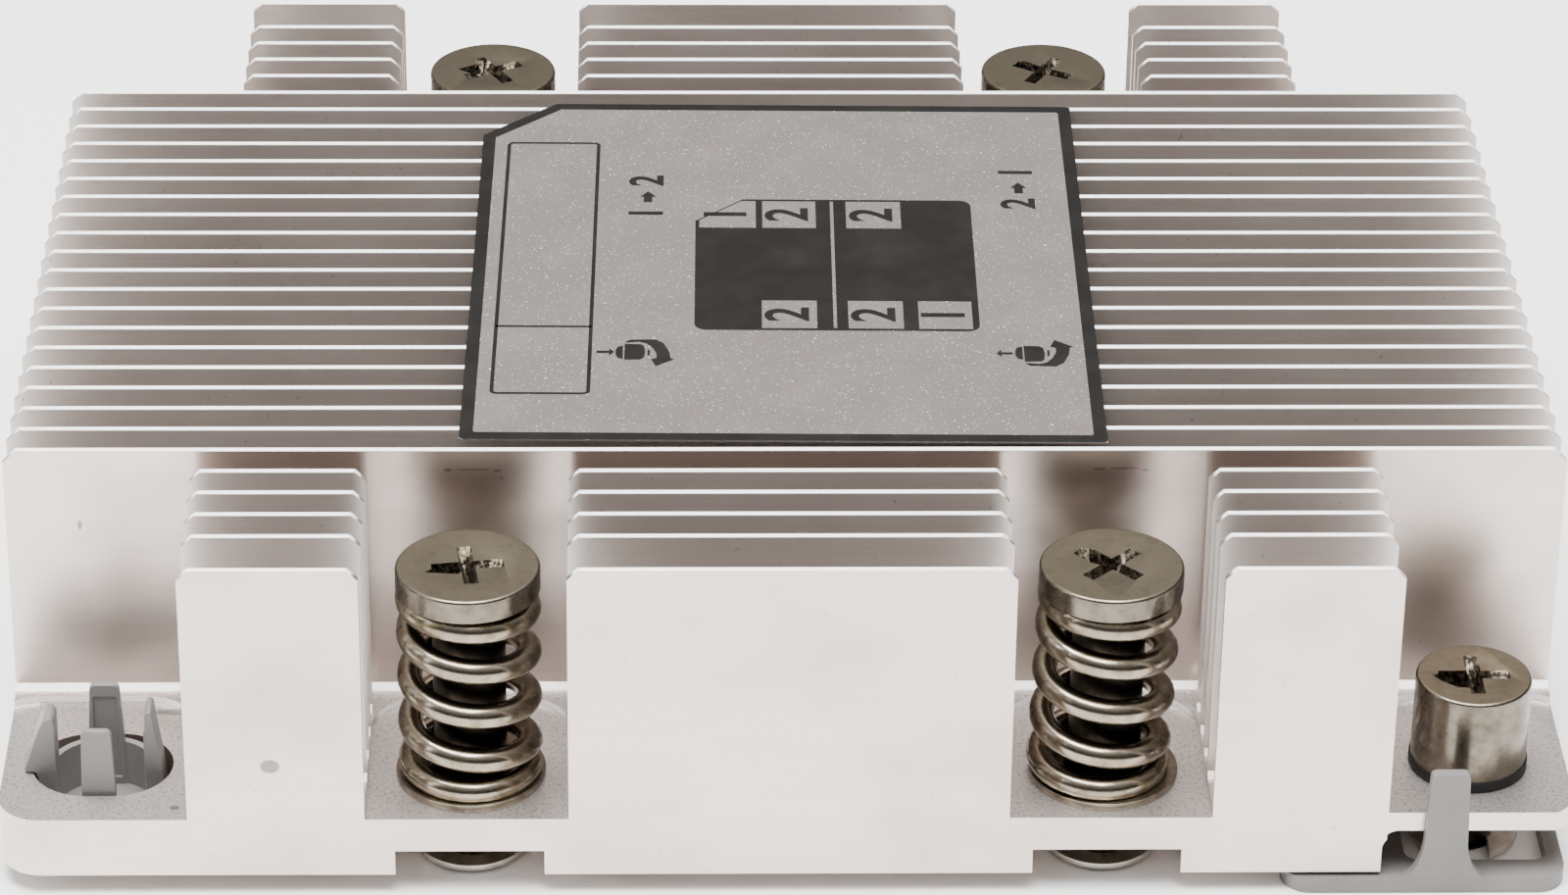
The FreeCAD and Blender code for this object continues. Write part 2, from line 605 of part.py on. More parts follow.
def make_carrier():
    body = new_body("processor_carrier")
    plan = new_sketch(body, "frame_plan")
    rectangle(plan, f"-{CARRIER_HALF_LENGTH}", CARRIER_HALF_LENGTH, f"-{CARRIER_HALF_WIDTH}",
              CARRIER_HALF_WIDTH, "dims.carrier_corner_radius")
    pad(body, "frame", plan, "dims.carrier_thickness")

    rounding = "dims.carrier_corner_radius"
    latch = new_sketch(body, "latch_plan")
    rectangle(latch, f"({CARRIER_HALF_LENGTH} - dims.latch_overlap)", LATCH_OUTER_X, f"-{LATCH_FRONT}",
              f"-{LATCH_BACK}", rounding)
    parts = [pad(body, "latch_corner", latch, "dims.carrier_thickness")]

    post = new_sketch(body, "post_plan")
    rectangle(post, f"(-{CORNER_X} - dims.post_pad_radius)", f"(-{CORNER_X} + dims.post_pad_reach)",
              f"(-{CORNER_Y} - dims.post_pad_radius)", f"-{LATCH_BACK}", rounding)
    parts.append(pad(body, "post_corner", post, "dims.carrier_thickness"))

    collar = new_sketch(body, "collar_plan")
    circle(collar, f"-{CORNER_X}", f"-{CORNER_Y}", "dims.post_ring_outer")
    circle(collar, f"-{CORNER_X}", f"-{CORNER_Y}", "(dims.post_ring_outer - dims.post_ring_wall)")
    parts.append(pad(body, "post_collar", collar, "dims.post_ring_top"))
    plug = new_sketch(body, "collar_floor_plan")
    circle(plug, f"-{CORNER_X}", f"-{CORNER_Y}", "(dims.post_ring_outer - dims.post_ring_wall / 2)")
    parts.append(pad(body, "collar_floor", plug, "dims.post_ring_floor"))
    for side in FINGERS:
        parts.append(make_finger(body, side))

    tab_back = f"({HALF_DEPTH} - dims.flange_setback + dims.tab_clearance)"
    tab = new_sketch(body, "tab_section", "XZ_Plane", tab_back)
    left = f"({CORNER_X} - dims.tab_offset - dims.tab_half_width)"
    right = f"({CORNER_X} - dims.tab_offset + dims.tab_half_width)"
    flare = "dims.tab_flare"
    outline(tab, [
        (f"({left} - dims.tab_spread - {flare})", "0"),
        (f"({right} + dims.tab_spread + {flare})", "0"),
        (f"({right} + dims.tab_spread + {flare})", "dims.carrier_thickness"),
        (f"({right} + dims.tab_spread)", f"(dims.carrier_thickness + {flare})"),
        (right, "dims.tab_top"),
        (left, "dims.tab_top"),
        (f"({left} - dims.tab_spread)", f"(dims.carrier_thickness + {flare})"),
        (f"({left} - dims.tab_spread - {flare})", "dims.carrier_thickness"),
    ])
    parts.append(pad(body, "latch_tab", tab, f"{LATCH_FRONT} - {tab_back}"))

    hook_low = f"({POCKET_FLOOR} + dims.hook_clearance)"
    hook = new_sketch(body, "hook_section", "YZ_Plane", left)
    outline(hook, [(f"-{tab_back}", hook_low), (f"(-{tab_back} + dims.tab_hook_reach)", hook_low),
                   (f"-{tab_back}", f"({hook_low} + dims.tab_hook_height)")])
    parts.append(pad(body, "latch_hook", hook, "2 * dims.tab_half_width"))
    repeat_half_turn(body, "corner_features", parts)

    window = new_sketch(body, "window_plan")
    rectangle(window, f"-{WINDOW_HALF_LENGTH}", WINDOW_HALF_LENGTH, f"-{WINDOW_HALF_WIDTH}",
              WINDOW_HALF_WIDTH, rounding)
    pocket(body, "window", window, "dims.carrier_thickness", reverse=True)
    corner_window = new_sketch(body, "screw_window_plan")
    rectangle(corner_window, f"({FLANGE_INNER_X} + dims.carrier_corner_radius)",
              f"({LATCH_OUTER_X} - dims.latch_side_rim)", f"-({LATCH_FRONT} - dims.latch_rim)",
              f"-{SCREW_WINDOW_BACK}", "(dims.carrier_corner_radius / 2)")
    screw_window = pocket(body, "screw_window", corner_window, "dims.carrier_thickness", reverse=True)
    repeat_half_turn(body, "screw_windows", [screw_window])
    return body


def make_label():
    body = new_body("top_label", "dims.label_x", "dims.label_y")
    plan = new_sketch(body, "plan", offset=FIN_TOP)
    x, y, corner = "(dims.label_length / 2)", "(dims.label_width / 2)", "dims.label_corner"
    outline(plan, [(f"-{x}", f"-{y}"), (x, f"-{y}"), (x, y), (f"(-{x} + {corner})", y),
                   (f"-{x}", f"({y} - {corner})")])
    pad(body, "film", plan, "dims.label_thickness")
    return body


# --------------------------------------------------------------------------- assembly
RECESS_TURNS = {"front_left": 8.0, "front_right": 45.0, "back_right": 60.0, "back_left": 30.0}
SPRING_TURNS = {"front_left": -5.0, "front_right": 17.0, "back_right": 200.0, "back_left": 250.0}
CORNER_RECESS_TURNS = {"front_right": 0.0, "back_left": 35.0}

pieces = [make_heatsink_body(), make_carrier(), make_label()]
for place, (x_side, y_side) in SCREW_PLACES.items():
    x, y = f"{x_side} * dims.spring_screw_x", f"{y_side} * {SPRING_SCREW_Y}"
    pieces.append(make_spring_screw(f"spring_screw_{place}", x, y, RECESS_TURNS[place]))
    pieces.append(make_spring(f"compression_spring_{place}", x, y, SPRING_TURNS[place]))
    pieces.append(make_ring(f"flat_washer_{place}", x, y, "dims.washer_radius",
                            "(dims.screw_shank_radius + dims.washer_bore_clearance)", POCKET_FLOOR,
                            "dims.washer_thickness"))
    pieces.append(make_clip(f"retaining_clip_{place}", x, y, "dims.screw_shank_radius",
                            0.0 if y_side < 0 else HALF_TURN))
for place, (x_side, y_side) in CORNERS.items():
    x, y = f"{x_side} * {CORNER_X}", f"{y_side} * {CORNER_Y}"
    pieces.append(make_corner_screw(f"corner_screw_{place}", x, y, CORNER_RECESS_TURNS[place]))
    pieces.append(make_ring(f"corner_washer_{place}", x, y, "dims.corner_washer_radius",
                            "(dims.corner_shank_radius + dims.washer_bore_clearance)", POCKET_FLOOR,
                            "dims.corner_washer_thickness"))
    pieces.append(make_clip(f"corner_clip_{place}", x, y, "dims.corner_shank_radius",
                            HALF_TURN if y_side < 0 else 0.0))

doc.recompute()
failed = [o.Label for o in doc.Objects if {"Invalid", "Error"} & set(o.State)]
if failed:
    raise RuntimeError(f"these objects failed: {failed}")
for piece in pieces:
    if piece.Shape.isNull() or not piece.Shape.isValid():
        raise RuntimeError(f"{piece.Label} has no valid shape")
for piece in pieces:
    piece.Shape.exportStep(f"parts/{piece.Label}.step")
    print(piece.Label, len(piece.Shape.Solids), round(piece.Shape.Volume, 3))
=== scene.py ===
"""Looks of a passive server CPU heatsink: extruded and milled aluminium, nickel-plated screws and springs,
a moulded processor carrier and a printed film label.  Laid out as a Blender add-on and run as a script."""

import json
import math

import bpy
from mathutils import Matrix, Vector


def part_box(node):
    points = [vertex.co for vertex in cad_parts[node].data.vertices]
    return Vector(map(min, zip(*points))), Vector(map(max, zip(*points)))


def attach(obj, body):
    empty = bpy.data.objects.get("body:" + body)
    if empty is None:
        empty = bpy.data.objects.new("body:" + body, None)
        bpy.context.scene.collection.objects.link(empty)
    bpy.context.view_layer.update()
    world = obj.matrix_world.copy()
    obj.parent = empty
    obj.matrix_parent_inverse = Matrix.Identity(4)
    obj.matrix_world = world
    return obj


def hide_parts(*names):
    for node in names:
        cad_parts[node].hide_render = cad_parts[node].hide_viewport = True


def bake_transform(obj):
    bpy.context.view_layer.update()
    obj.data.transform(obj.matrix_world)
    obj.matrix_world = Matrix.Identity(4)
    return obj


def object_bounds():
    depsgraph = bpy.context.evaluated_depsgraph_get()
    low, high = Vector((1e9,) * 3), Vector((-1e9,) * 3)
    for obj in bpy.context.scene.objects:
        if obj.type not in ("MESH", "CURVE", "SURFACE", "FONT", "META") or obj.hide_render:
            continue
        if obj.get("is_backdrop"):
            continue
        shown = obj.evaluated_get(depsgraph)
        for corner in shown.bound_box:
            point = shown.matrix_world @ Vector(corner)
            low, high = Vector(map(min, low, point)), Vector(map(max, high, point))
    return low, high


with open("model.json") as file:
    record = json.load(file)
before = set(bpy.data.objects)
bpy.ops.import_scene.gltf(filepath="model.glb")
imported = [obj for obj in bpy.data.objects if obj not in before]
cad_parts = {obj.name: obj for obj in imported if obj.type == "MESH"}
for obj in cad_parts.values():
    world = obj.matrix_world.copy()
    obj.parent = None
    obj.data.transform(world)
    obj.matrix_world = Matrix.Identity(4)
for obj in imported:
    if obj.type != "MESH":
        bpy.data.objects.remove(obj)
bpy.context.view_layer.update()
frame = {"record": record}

bl_info = {
    "name": "Passive CPU heatsink",
    "version": (1, 0, 0),
    "blender": (4, 5, 0),
    "location": "3D View > Sidebar > Heatsink",
    "description": "Models and finishes the pieces of a passive server heatsink",
    "category": "Object",
}

MM = 0.001
PLACES = {"front_left": (-1, -1), "front_right": (1, -1), "back_right": (1, 1), "back_left": (-1, 1)}
CORNERS = ("front_right", "back_left")


# --------------------------------------------------------------------------- sizes and colours
def length(name, millimetres, description):
    return bpy.props.FloatProperty(name=name, description=description, default=millimetres * MM, unit="LENGTH",
                                   subtype="DISTANCE", precision=5)


def linear(code):
    """An sRGB hex colour as linear red, green, blue and alpha."""
    channels = [int(code[i:i + 2], 16) / 255 for i in (1, 3, 5)]
    return [c / 12.92 if c <= 0.04045 else ((c + 0.055) / 1.055) ** 2.4 for c in channels] + [1.0]


def colour(name, code, description):
    return bpy.props.FloatVectorProperty(name=name, description=description, default=linear(code), size=4,
                                         subtype="COLOR", min=0.0, max=1.0)


class HeatsinkSizes(bpy.types.PropertyGroup):
    wire: length("Spring wire", 1.75, "Thickness of the spring wire")
    coil: length("Spring radius", 4.1, "Radius of the spring at the middle of its wire")
    turns: bpy.props.FloatProperty(name="Spring turns", description="Turns of the wire from end to end",
                                   default=4.76, min=2.0)
    ground_bottom: length("Ground bottom", 0.45, "Middle of the wire above the washer, at the ground end")
    ground_top: length("Ground top", 0.6, "Middle of the wire below the head, at the ground end")
    fin_edge: length("Fin edge", 0.05, "Rounding of the aluminium's edges")
    fin_tip: length("Fin tip", 0.15, "Rounding of the fins' tips")
    head_edge: length("Head edge", 0.24, "Rounding of the rim of a screw's head")
    turned_edge: length("Turned edge", 0.10, "Rounding of the washers' edges")
    moulded_edge: length("Moulded edge", 0.14, "Rounding of the plastic's edges")
    label_border: length("Label border", 0.95, "Width of the printed line round the label")
    label_line: length("Label line", 0.28, "Width of the thin printed lines on the label")


class HeatsinkColours(bpy.types.PropertyGroup):
    aluminium: colour("Aluminium", "#DBCDC5", "Clean extruded aluminium")
    aluminium_dull: colour("Dull aluminium", "#CBBDB5", "Aluminium where it is handled or stained")
    # painted light: the faces between the fins are coloured paler than the clean aluminium to stand in for light
    painted_fin_gap_light: colour("Between the fins", "#E2DBD6", "Aluminium between the fins, which no tool has touched")
    milled: colour("Milled floors", "#C8C5C3", "Grainy milled floors of the base")
    grit: colour("Grit", "#97938F", "Dark grains in the milled floors")
    pit: colour("Pits", "#8F8B87", "Sparse fine pits in the aluminium")
    # darkens the aluminium in small oval marks
    dark_mark: colour("Stains", "#6F6C69", "Dents and rubs in the aluminium")
    nickel: colour("Nickel plate", "#918571", "Warm satin nickel plate on the screws' tops")
    nickel_dark: colour("Worn nickel", "#6F6555", "Nickel plate where it is rubbed or dirty")
    # painted shade: the shanks below the heads and caps are coloured dark brown for the shade inside the springs
    oiled: colour("Oiled shank", "#3B342B", "Dark oiled shanks inside the springs")
    oil: colour("Thick oil", "#1E1A15", "Shanks where the oil is thick")
    # painted shade: the recesses are coloured near black for the shade inside them
    torn: colour("Torn steel", "#1A1612", "Greasy torn metal in the recesses")
    torn_bright: colour("Bare torn steel", "#7A7060", "Torn metal where it is bare")
    # painted highlight: the near-white colour of the fin tips and of a band at the foot of the upright faces
    painted_highlight: colour("Fin tips", "#FFFDFA", "Sheared tips of the fins")
    polished: colour("Polished nickel", "#968C7E", "Spring wire")
    polished_dark: colour("Tarnished nickel", "#70664F", "Spring wire where it has browned")
    # painted shade: the sides of the heads and caps are coloured darker than their tops
    turned: colour("Turned nickel", "#756D62", "Sides of the heads and caps")
    shaded_side_dark: colour("Dull turned nickel", "#575045", "Sides of the heads and caps where they are dull")
    washer: colour("Washer", "#8A8172", "Flat washers under the springs")
    washer_dark: colour("Worn washer", "#635A4D", "Flat washers where the spring has rubbed them")
    clip: colour("Retaining clip", "#D9D5CC", "Bright clips on the screws' ends")
    clip_dull: colour("Dull clip", "#BDB7AB", "Clips where they are dull")
    plastic: colour("Carrier plastic", "#726F6C", "Moulded grey carrier")
    plastic_dull: colour("Dull plastic", "#696764", "Carrier plastic where its flow left it duller")
    rubber: colour("Corner washer", "#070706", "Black washer under a corner screw")
    film: colour("Label film", "#5F5955", "Silver-grey label film")
    film_cloud: colour("Label cloud", "#7F7974", "Label film where it is paler")
    flake: colour("Label flake", "#C8C2BD", "Metal flakes in the label film")
    ink: colour("Label ink", "#12110F", "Dark print on the label")
    ink_worn: colour("Worn ink", "#2B2825", "Print where it is thin")
    paper: colour("Stage", "#FAFAF9", "Pale studio floor")
    sky: colour("Studio light", "#F3F4F6", "Light of the pale studio round the stage")


def sizes():
    return bpy.context.scene.heatsink_sizes


def colours():
    return bpy.context.scene.heatsink_colours


# --------------------------------------------------------------------------- materials
def add_node(material, kind, settings=None, **links):
    """Adds a shader node.  Settings go to the node itself and links to its inputs, as values or sockets."""
    node = material.node_tree.nodes.new(kind)
    for name, value in (settings or {}).items():
        setattr(node, name, value)
    for name, value in links.items():
        socket = node.inputs[int(name[1:])] if name[0] == "i" and name[1:].isdigit() else \
            node.inputs[name.replace("_", " ")]
        if isinstance(value, bpy.types.NodeSocket):
            material.node_tree.links.new(value, socket)
        else:
            socket.default_value = value
    return node


def new_material(name):
    material = bpy.data.materials.new(name)
    material.use_nodes = True
    material.node_tree.nodes.clear()
    return material


def finish(material, **shader):
    """Ends a material with its shader and output."""
    principled = add_node(material, "ShaderNodeBsdfPrincipled", None, **shader)
    add_node(material, "ShaderNodeOutputMaterial", None, Surface=principled.outputs["BSDF"])
    return material


def grain(material, size, detail=2.0, roughness=0.5):
    """Noise whose grain measures size (x, y, z) in metres along the object's own axes."""
    place = add_node(material, "ShaderNodeTexCoord").outputs["Object"]
    scaled = add_node(material, "ShaderNodeMapping", {"vector_type": "POINT"}, Vector=place,
                      Scale=[1 / s for s in size]).outputs["Vector"]
    return add_node(material, "ShaderNodeTexNoise", None, Vector=scaled, Scale=1.0, Detail=detail,
                    Roughness=roughness).outputs["Fac"]


def spread(material, value, low, high, to_low=0.0, to_high=1.0):
    """Maps low..high of a value to a new range, clamped."""
    return add_node(material, "ShaderNodeMapRange", {"clamp": True}, Value=value, From_Min=low, From_Max=high,
                    To_Min=to_low, To_Max=to_high).outputs["Result"]


def mix(material, factor, first, second):
    return add_node(material, "ShaderNodeMix", {"data_type": "RGBA"}, i0=factor, i6=first, i7=second).outputs[2]


def math_node(material, operation, first, second=0.0):
    return add_node(material, "ShaderNodeMath", {"operation": operation}, i0=first, i1=second).outputs[0]


def bump(material, height, distance, strength=1.0):
    return add_node(material, "ShaderNodeBump", None, Height=height, Distance=distance,
                    Strength=strength).outputs["Normal"]


def spot(material, centre, reach):
    """1 at the centre of an oval mark and 0 outside it; centre and reach are (x, y, z) in metres."""
    place = add_node(material, "ShaderNodeTexCoord").outputs["Object"]
    moved = add_node(material, "ShaderNodeVectorMath", {"operation": "SUBTRACT"}, i0=place, i1=centre)
    scaled = add_node(material, "ShaderNodeVectorMath", {"operation": "MULTIPLY"}, i0=moved.outputs["Vector"],
                      i1=[1 / r for r in reach])
    far = add_node(material, "ShaderNodeVectorMath", {"operation": "LENGTH"},
                   i0=scaled.outputs["Vector"]).outputs["Value"]
    return spread(material, far, 0.75, 1.0, 1.0, 0.0)


FULL_FIN_FACE = 28.02      # millimetres from the middle plane to the face of the outermost full-length fin
EDGE_FIN_FACE = 44.11      # and to the face of the fin on the base's edge
DARK_MARKS = (
    # dark oval marks: the centre and the reach of each in millimetres, then how dark it is
    ((-35.2, -44.1, 10.3), (0.75, 0.6, 0.62), 0.85),
    ((-48.9, -28.0, 19.8), (0.16, 0.5, 0.42), 0.8),
    ((-42.8, -30.4, 6.0), (1.5, 0.42, 0.3), 0.75),
    ((-41.9, -42.6, 6.0), (0.42, 0.3, 0.3), 0.8),
    ((-23.4, -28.0, 24.15), (0.3, 0.5, 0.16), 0.55),
    ((-21.6, -28.0, 24.2), (1.3, 0.5, 0.10), 0.45),
    ((-20.0, -28.0, 24.1), (0.35, 0.5, 0.12), 0.5),
    ((-19.7, -28.0, 23.5), (0.2, 0.5, 0.14), 0.4),
    ((21.6, -28.0, 24.2), (0.5, 0.5, 0.12), 0.5),
    ((23.3, -28.0, 24.25), (1.2, 0.5, 0.10), 0.42),
    ((24.8, -28.0, 24.1), (0.3, 0.5, 0.13), 0.45),
)


def masks_of(material):
    """A point's height, upward tilt, distance from the middle plane, and how far it faces front or back."""
    place = add_node(material, "ShaderNodeTexCoord")
    parts = add_node(material, "ShaderNodeSeparateXYZ", None, Vector=place.outputs["Object"]).outputs
    lean = add_node(material, "ShaderNodeSeparateXYZ", None, Vector=place.outputs["Normal"]).outputs
    return (parts["Z"], lean["Z"], math_node(material, "ABSOLUTE", parts["Y"]),
            math_node(material, "ABSOLUTE", lean["Y"]))


def milled_aluminium():
    """Extruded aluminium 6063.  Upright faces are satin with drawing lines along the fins, the milled floors
    are grainy and duller, and the fin tips carry a painted highlight, near white and less metallic.  The real
    grit is finer: it is drawn as coarse as it needs to show."""
    material = new_material("extruded_aluminium")
    tone = colours()
    drawn = grain(material, (16 * MM, 0.22 * MM, 0.22 * MM), 3.0, 0.6)
    patches = grain(material, (11 * MM, 8 * MM, 6 * MM), 3.0)
    specks = grain(material, (0.26 * MM, 0.26 * MM, 0.26 * MM), 2.5, 0.6)
    pits = grain(material, (0.5 * MM, 0.5 * MM, 0.5 * MM), 1.0)
    height, tilt, across, facing = masks_of(material)
    upward = spread(material, tilt, 0.6, 0.9)
    floor = math_node(material, "MULTIPLY", upward, spread(material, height, 8 * MM, 9 * MM, 1.0, 0.0))
    # painted highlight: the fin tips are coloured near white and made less metallic
    tip = math_node(material, "MULTIPLY", spread(material, tilt, 0.05, 0.45),
                    spread(material, height, 25.2 * MM, 25.45 * MM))
    base = mix(material, spread(material, patches, 0.45, 0.72), tone.aluminium, tone.aluminium_dull)
    off_front = math_node(material, "ABSOLUTE", math_node(material, "SUBTRACT", across, FULL_FIN_FACE * MM))
    off_edge = spread(material, across, (EDGE_FIN_FACE - 0.2) * MM, (EDGE_FIN_FACE - 0.1) * MM, 1.0, 0.0)
    sheltered = math_node(material, "MULTIPLY", spread(material, off_front, 0.1 * MM, 0.2 * MM), off_edge)
    sheltered = math_node(material, "MULTIPLY", sheltered, spread(material, height, 7 * MM, 9 * MM))
    # painted light: the faces between the fins are coloured paler
    base = mix(material, sheltered, base, tone.painted_fin_gap_light)
    streak = math_node(material, "MULTIPLY", spread(material, drawn, 0.52, 0.72), 0.3)
    base = mix(material, streak, base, tone.aluminium_dull)
    base = mix(material, math_node(material, "MULTIPLY", floor, 0.6), base, tone.milled)
    base = mix(material, math_node(material, "MULTIPLY", floor, spread(material, specks, 0.50, 0.70)), base,
               tone.grit)
    base = mix(material, spread(material, pits, 0.74, 0.80, 0.0, 0.45), base, tone.pit)
    # painted highlight: the flare at a fin's foot and the step at a pocket's edge are coloured near white and
    # made less metallic
    foot = math_node(material, "MULTIPLY", spread(material, facing, 0.3, 0.5), math_node(
        material, "MULTIPLY", spread(material, height, 6.02 * MM, 6.06 * MM),
        spread(material, height, 6.85 * MM, 6.97 * MM, 1.0, 0.0)))
    foot = math_node(material, "MULTIPLY", foot,
                     spread(material, across, (EDGE_FIN_FACE - 0.6) * MM, (EDGE_FIN_FACE - 0.5) * MM, 1.0, 0.0))
    base = mix(material, foot, base, tone.painted_highlight)
    for centre, reach, dark in DARK_MARKS:
        mark = spot(material, [v * MM for v in centre], [v * MM for v in reach])
        base = mix(material, math_node(material, "MULTIPLY", mark, dark), base, tone.dark_mark)
    base = mix(material, tip, base, tone.painted_highlight)
    rough = spread(material, patches, 0.3, 0.7, 0.28, 0.34)
    rough = math_node(material, "ADD", rough, math_node(material, "MULTIPLY", sheltered, 0.13))
    rough = math_node(material, "ADD", rough, math_node(material, "MULTIPLY", floor, 0.12))
    rough = math_node(material, "ADD", rough, math_node(material, "MULTIPLY", tip, 0.25))
    bright = math_node(material, "MAXIMUM", tip, math_node(material, "MULTIPLY", foot, 0.8))
    metallic = math_node(material, "SUBTRACT", 1.0, math_node(material, "MULTIPLY", bright, 0.75))
    gritty = math_node(material, "ADD", 0.25, math_node(material, "MULTIPLY", floor, 4.0))
    relief = math_node(material, "ADD", drawn, math_node(material, "MULTIPLY", specks, gritty))
    return finish(material, Base_Color=base, Metallic=metallic, Roughness=rough,
                  Normal=bump(material, relief, 0.006 * MM, 0.7))


def nickel_plate(name, base_roughness, clean, worn, scratch=0.3):
    """Nickel plate on steel: warm grey, shinier where it is smooth and browner where it is rubbed."""
    material = new_material(name)
    wear = grain(material, (1.3 * MM, 1.3 * MM, 1.3 * MM), 4.0, 0.6)
    fine = grain(material, (0.14 * MM, 0.14 * MM, 0.14 * MM), 2.0)
    base = mix(material, spread(material, wear, 0.40, 0.72), clean, worn)
    rough = spread(material, wear, 0.3, 0.75, base_roughness, base_roughness + 0.12)
    return finish(material, Base_Color=base, Metallic=1.0, Roughness=rough,
                  Normal=bump(material, fine, 0.004 * MM, scratch))


def moulded_plastic():
    """Grey glass-filled nylon, moulded: an even satin grey with a very fine tooth."""
    material = new_material("moulded_nylon")
    tooth = grain(material, (0.1 * MM, 0.1 * MM, 0.1 * MM), 2.0)
    flow = grain(material, (6 * MM, 6 * MM, 6 * MM), 2.0)
    base = mix(material, spread(material, flow, 0.35, 0.7), colours().plastic, colours().plastic_dull)
    return finish(material, Base_Color=base, Roughness=0.42, IOR=1.53,
                  Normal=bump(material, tooth, 0.004 * MM, 0.5))


def black_rubber():
    """Vulcanised fibre, punched: black and dull."""
    material = new_material("black_fibre")
    tooth = grain(material, (0.15 * MM, 0.15 * MM, 0.15 * MM), 3.0)
    return finish(material, Base_Color=colours().rubber, Roughness=0.7, IOR=1.35,
                  Normal=bump(material, tooth, 0.01 * MM, 0.5))


def label_film():
    """Polyester film with metal flakes: a matt silver grey that sparkles in small points.  The real flakes are
    finer: they are drawn as coarse as they need to show."""
    material = new_material("flake_film")
    flakes = grain(material, (0.16 * MM, 0.16 * MM, 0.16 * MM), 1.0)
    clouds = grain(material, (5 * MM, 5 * MM, 5 * MM), 3.0)
    base = mix(material, spread(material, clouds, 0.45, 0.8, 0.0, 0.2), colours().film, colours().film_cloud)
    base = mix(material, spread(material, flakes, 0.67, 0.80), base, colours().flake)
    return finish(material, Base_Color=base, Metallic=0.0, Roughness=0.5, IOR=1.4,
                  Normal=bump(material, flakes, 0.01 * MM, 0.2))


def label_ink():
    """Screen-printed ink: near black and matt."""
    material = new_material("screen_ink")
    clouds = grain(material, (3 * MM, 3 * MM, 3 * MM), 2.0)
    base = mix(material, spread(material, clouds, 0.4, 0.8, 0.0, 0.3), colours().ink, colours().ink_worn)
    return finish(material, Base_Color=base, Roughness=0.6, IOR=1.25)


def shaded_torn_metal():
    """Bare steel in a worn driver recess: rough, and coloured near black as painted shade in the recess, with
    paler patches of bare torn steel.
    """
    material = new_material("shaded_torn_steel")
    torn = grain(material, (0.35 * MM, 0.35 * MM, 0.35 * MM), 3.0, 0.7)
    base = mix(material, spread(material, torn, 0.45, 0.68), colours().torn, colours().torn_bright)
    return finish(material, Base_Color=base, Metallic=1.0, Roughness=0.34,
                  Normal=bump(material, torn, 0.04 * MM, 0.6))


def stage_paper():
    """Seamless white background paper: matt and even."""
    material = new_material("background_paper")
    tooth = grain(material, (1.2 * MM, 1.2 * MM, 1.2 * MM), 2.0)
    return finish(material, Base_Color=colours().paper, Roughness=0.9,
                  Normal=bump(material, tooth, 0.02 * MM, 0.2))


# --------------------------------------------------------------------------- modelling helpers
def deselect():
    if bpy.context.object and bpy.context.object.mode != "OBJECT":
        bpy.ops.object.mode_set(mode="OBJECT")
    bpy.ops.object.select_all(action="DESELECT")


def select(piece):
    deselect()
    piece.select_set(True)
    bpy.context.view_layer.objects.active = piece


def dress(piece, body, slot, material, *replaced):
    """Gives a finished piece its material and body, and hides the pieces that it replaces."""
    piece.data.materials.clear()
    piece.data.materials.append(material)
    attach(piece, body)
    if replaced:
        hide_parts(*replaced)


def body_with(node):
    return next(name for name, nodes in frame["record"]["behaviour"]["bodies"].items() if node in nodes)


def slot_of(node):
    return next(s["material_slot"] for s in frame["record"]["subparts"] if s["node"] == node)


def copy_of(node, name):
    """An editable copy of a piece's solid: its loose triangles merged and its flat faces made whole again."""
    source = bpy.data.objects[node]
    piece = source.copy()
    piece.data = source.data.copy()
    piece.name = name
    piece.data.name = name
    for key in list(piece.keys()):
        del piece[key]
    bpy.context.scene.collection.objects.link(piece)
    piece.hide_render = False
    select(piece)
    bpy.ops.object.mode_set(mode="EDIT")
    bpy.ops.mesh.select_all(action="SELECT")
    bpy.ops.mesh.remove_doubles(threshold=0.0005 * MM)
    bpy.ops.mesh.dissolve_limited(angle_limit=math.radians(0.6))
    bpy.ops.object.mode_set(mode="OBJECT")
    return piece


def apply_modifier(piece, kind, settings):
    select(piece)
    modifier = piece.modifiers.new(kind.title(), kind)
    for name, value in settings.items():
        setattr(modifier, name, value)
    bpy.ops.object.modifier_apply(modifier=modifier.name)


def round_edges(piece, width, segments=2, angle=30.0):
    apply_modifier(piece, "BEVEL", {
        "limit_method": "ANGLE", "angle_limit": math.radians(angle), "width": width, "segments": segments,
        "use_clamp_overlap": True, "harden_normals": False, "miter_outer": "MITER_ARC"})
    smooth(piece)


def smooth(piece):
    """Shades the rounded edges smoothly and keeps the flat faces flat."""
    select(piece)
    bpy.ops.object.shade_smooth_by_angle(angle=math.radians(35))
    apply_modifier(piece, "WEIGHTED_NORMAL", {"keep_sharp": True})


def bevel_edges(piece, chosen, width, segments=4):
    """Rounds the edges whose two ends the function chosen accepts."""
    ends = [vertex.co for vertex in piece.data.vertices]
    picked = [edge.index for edge in piece.data.edges if chosen(*(ends[v] for v in edge.vertices))]
    select(piece)
    for group in (piece.data.vertices, piece.data.edges, piece.data.polygons):
        group.foreach_set("select", [False] * len(group))
    for index in picked:
        piece.data.edges[index].select = True
        for vertex in piece.data.edges[index].vertices:
            piece.data.vertices[vertex].select = True
    bpy.ops.object.mode_set(mode="EDIT")
    bpy.ops.mesh.select_mode(type="EDGE")
    bpy.ops.mesh.bevel(offset=width, segments=segments, affect="EDGES", clamp_overlap=False)
    bpy.ops.mesh.select_mode(type="VERT")
    bpy.ops.object.mode_set(mode="OBJECT")


def middle(node):
    low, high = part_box(node)
    return [(a + b) / 2 for a, b in zip(low, high)]


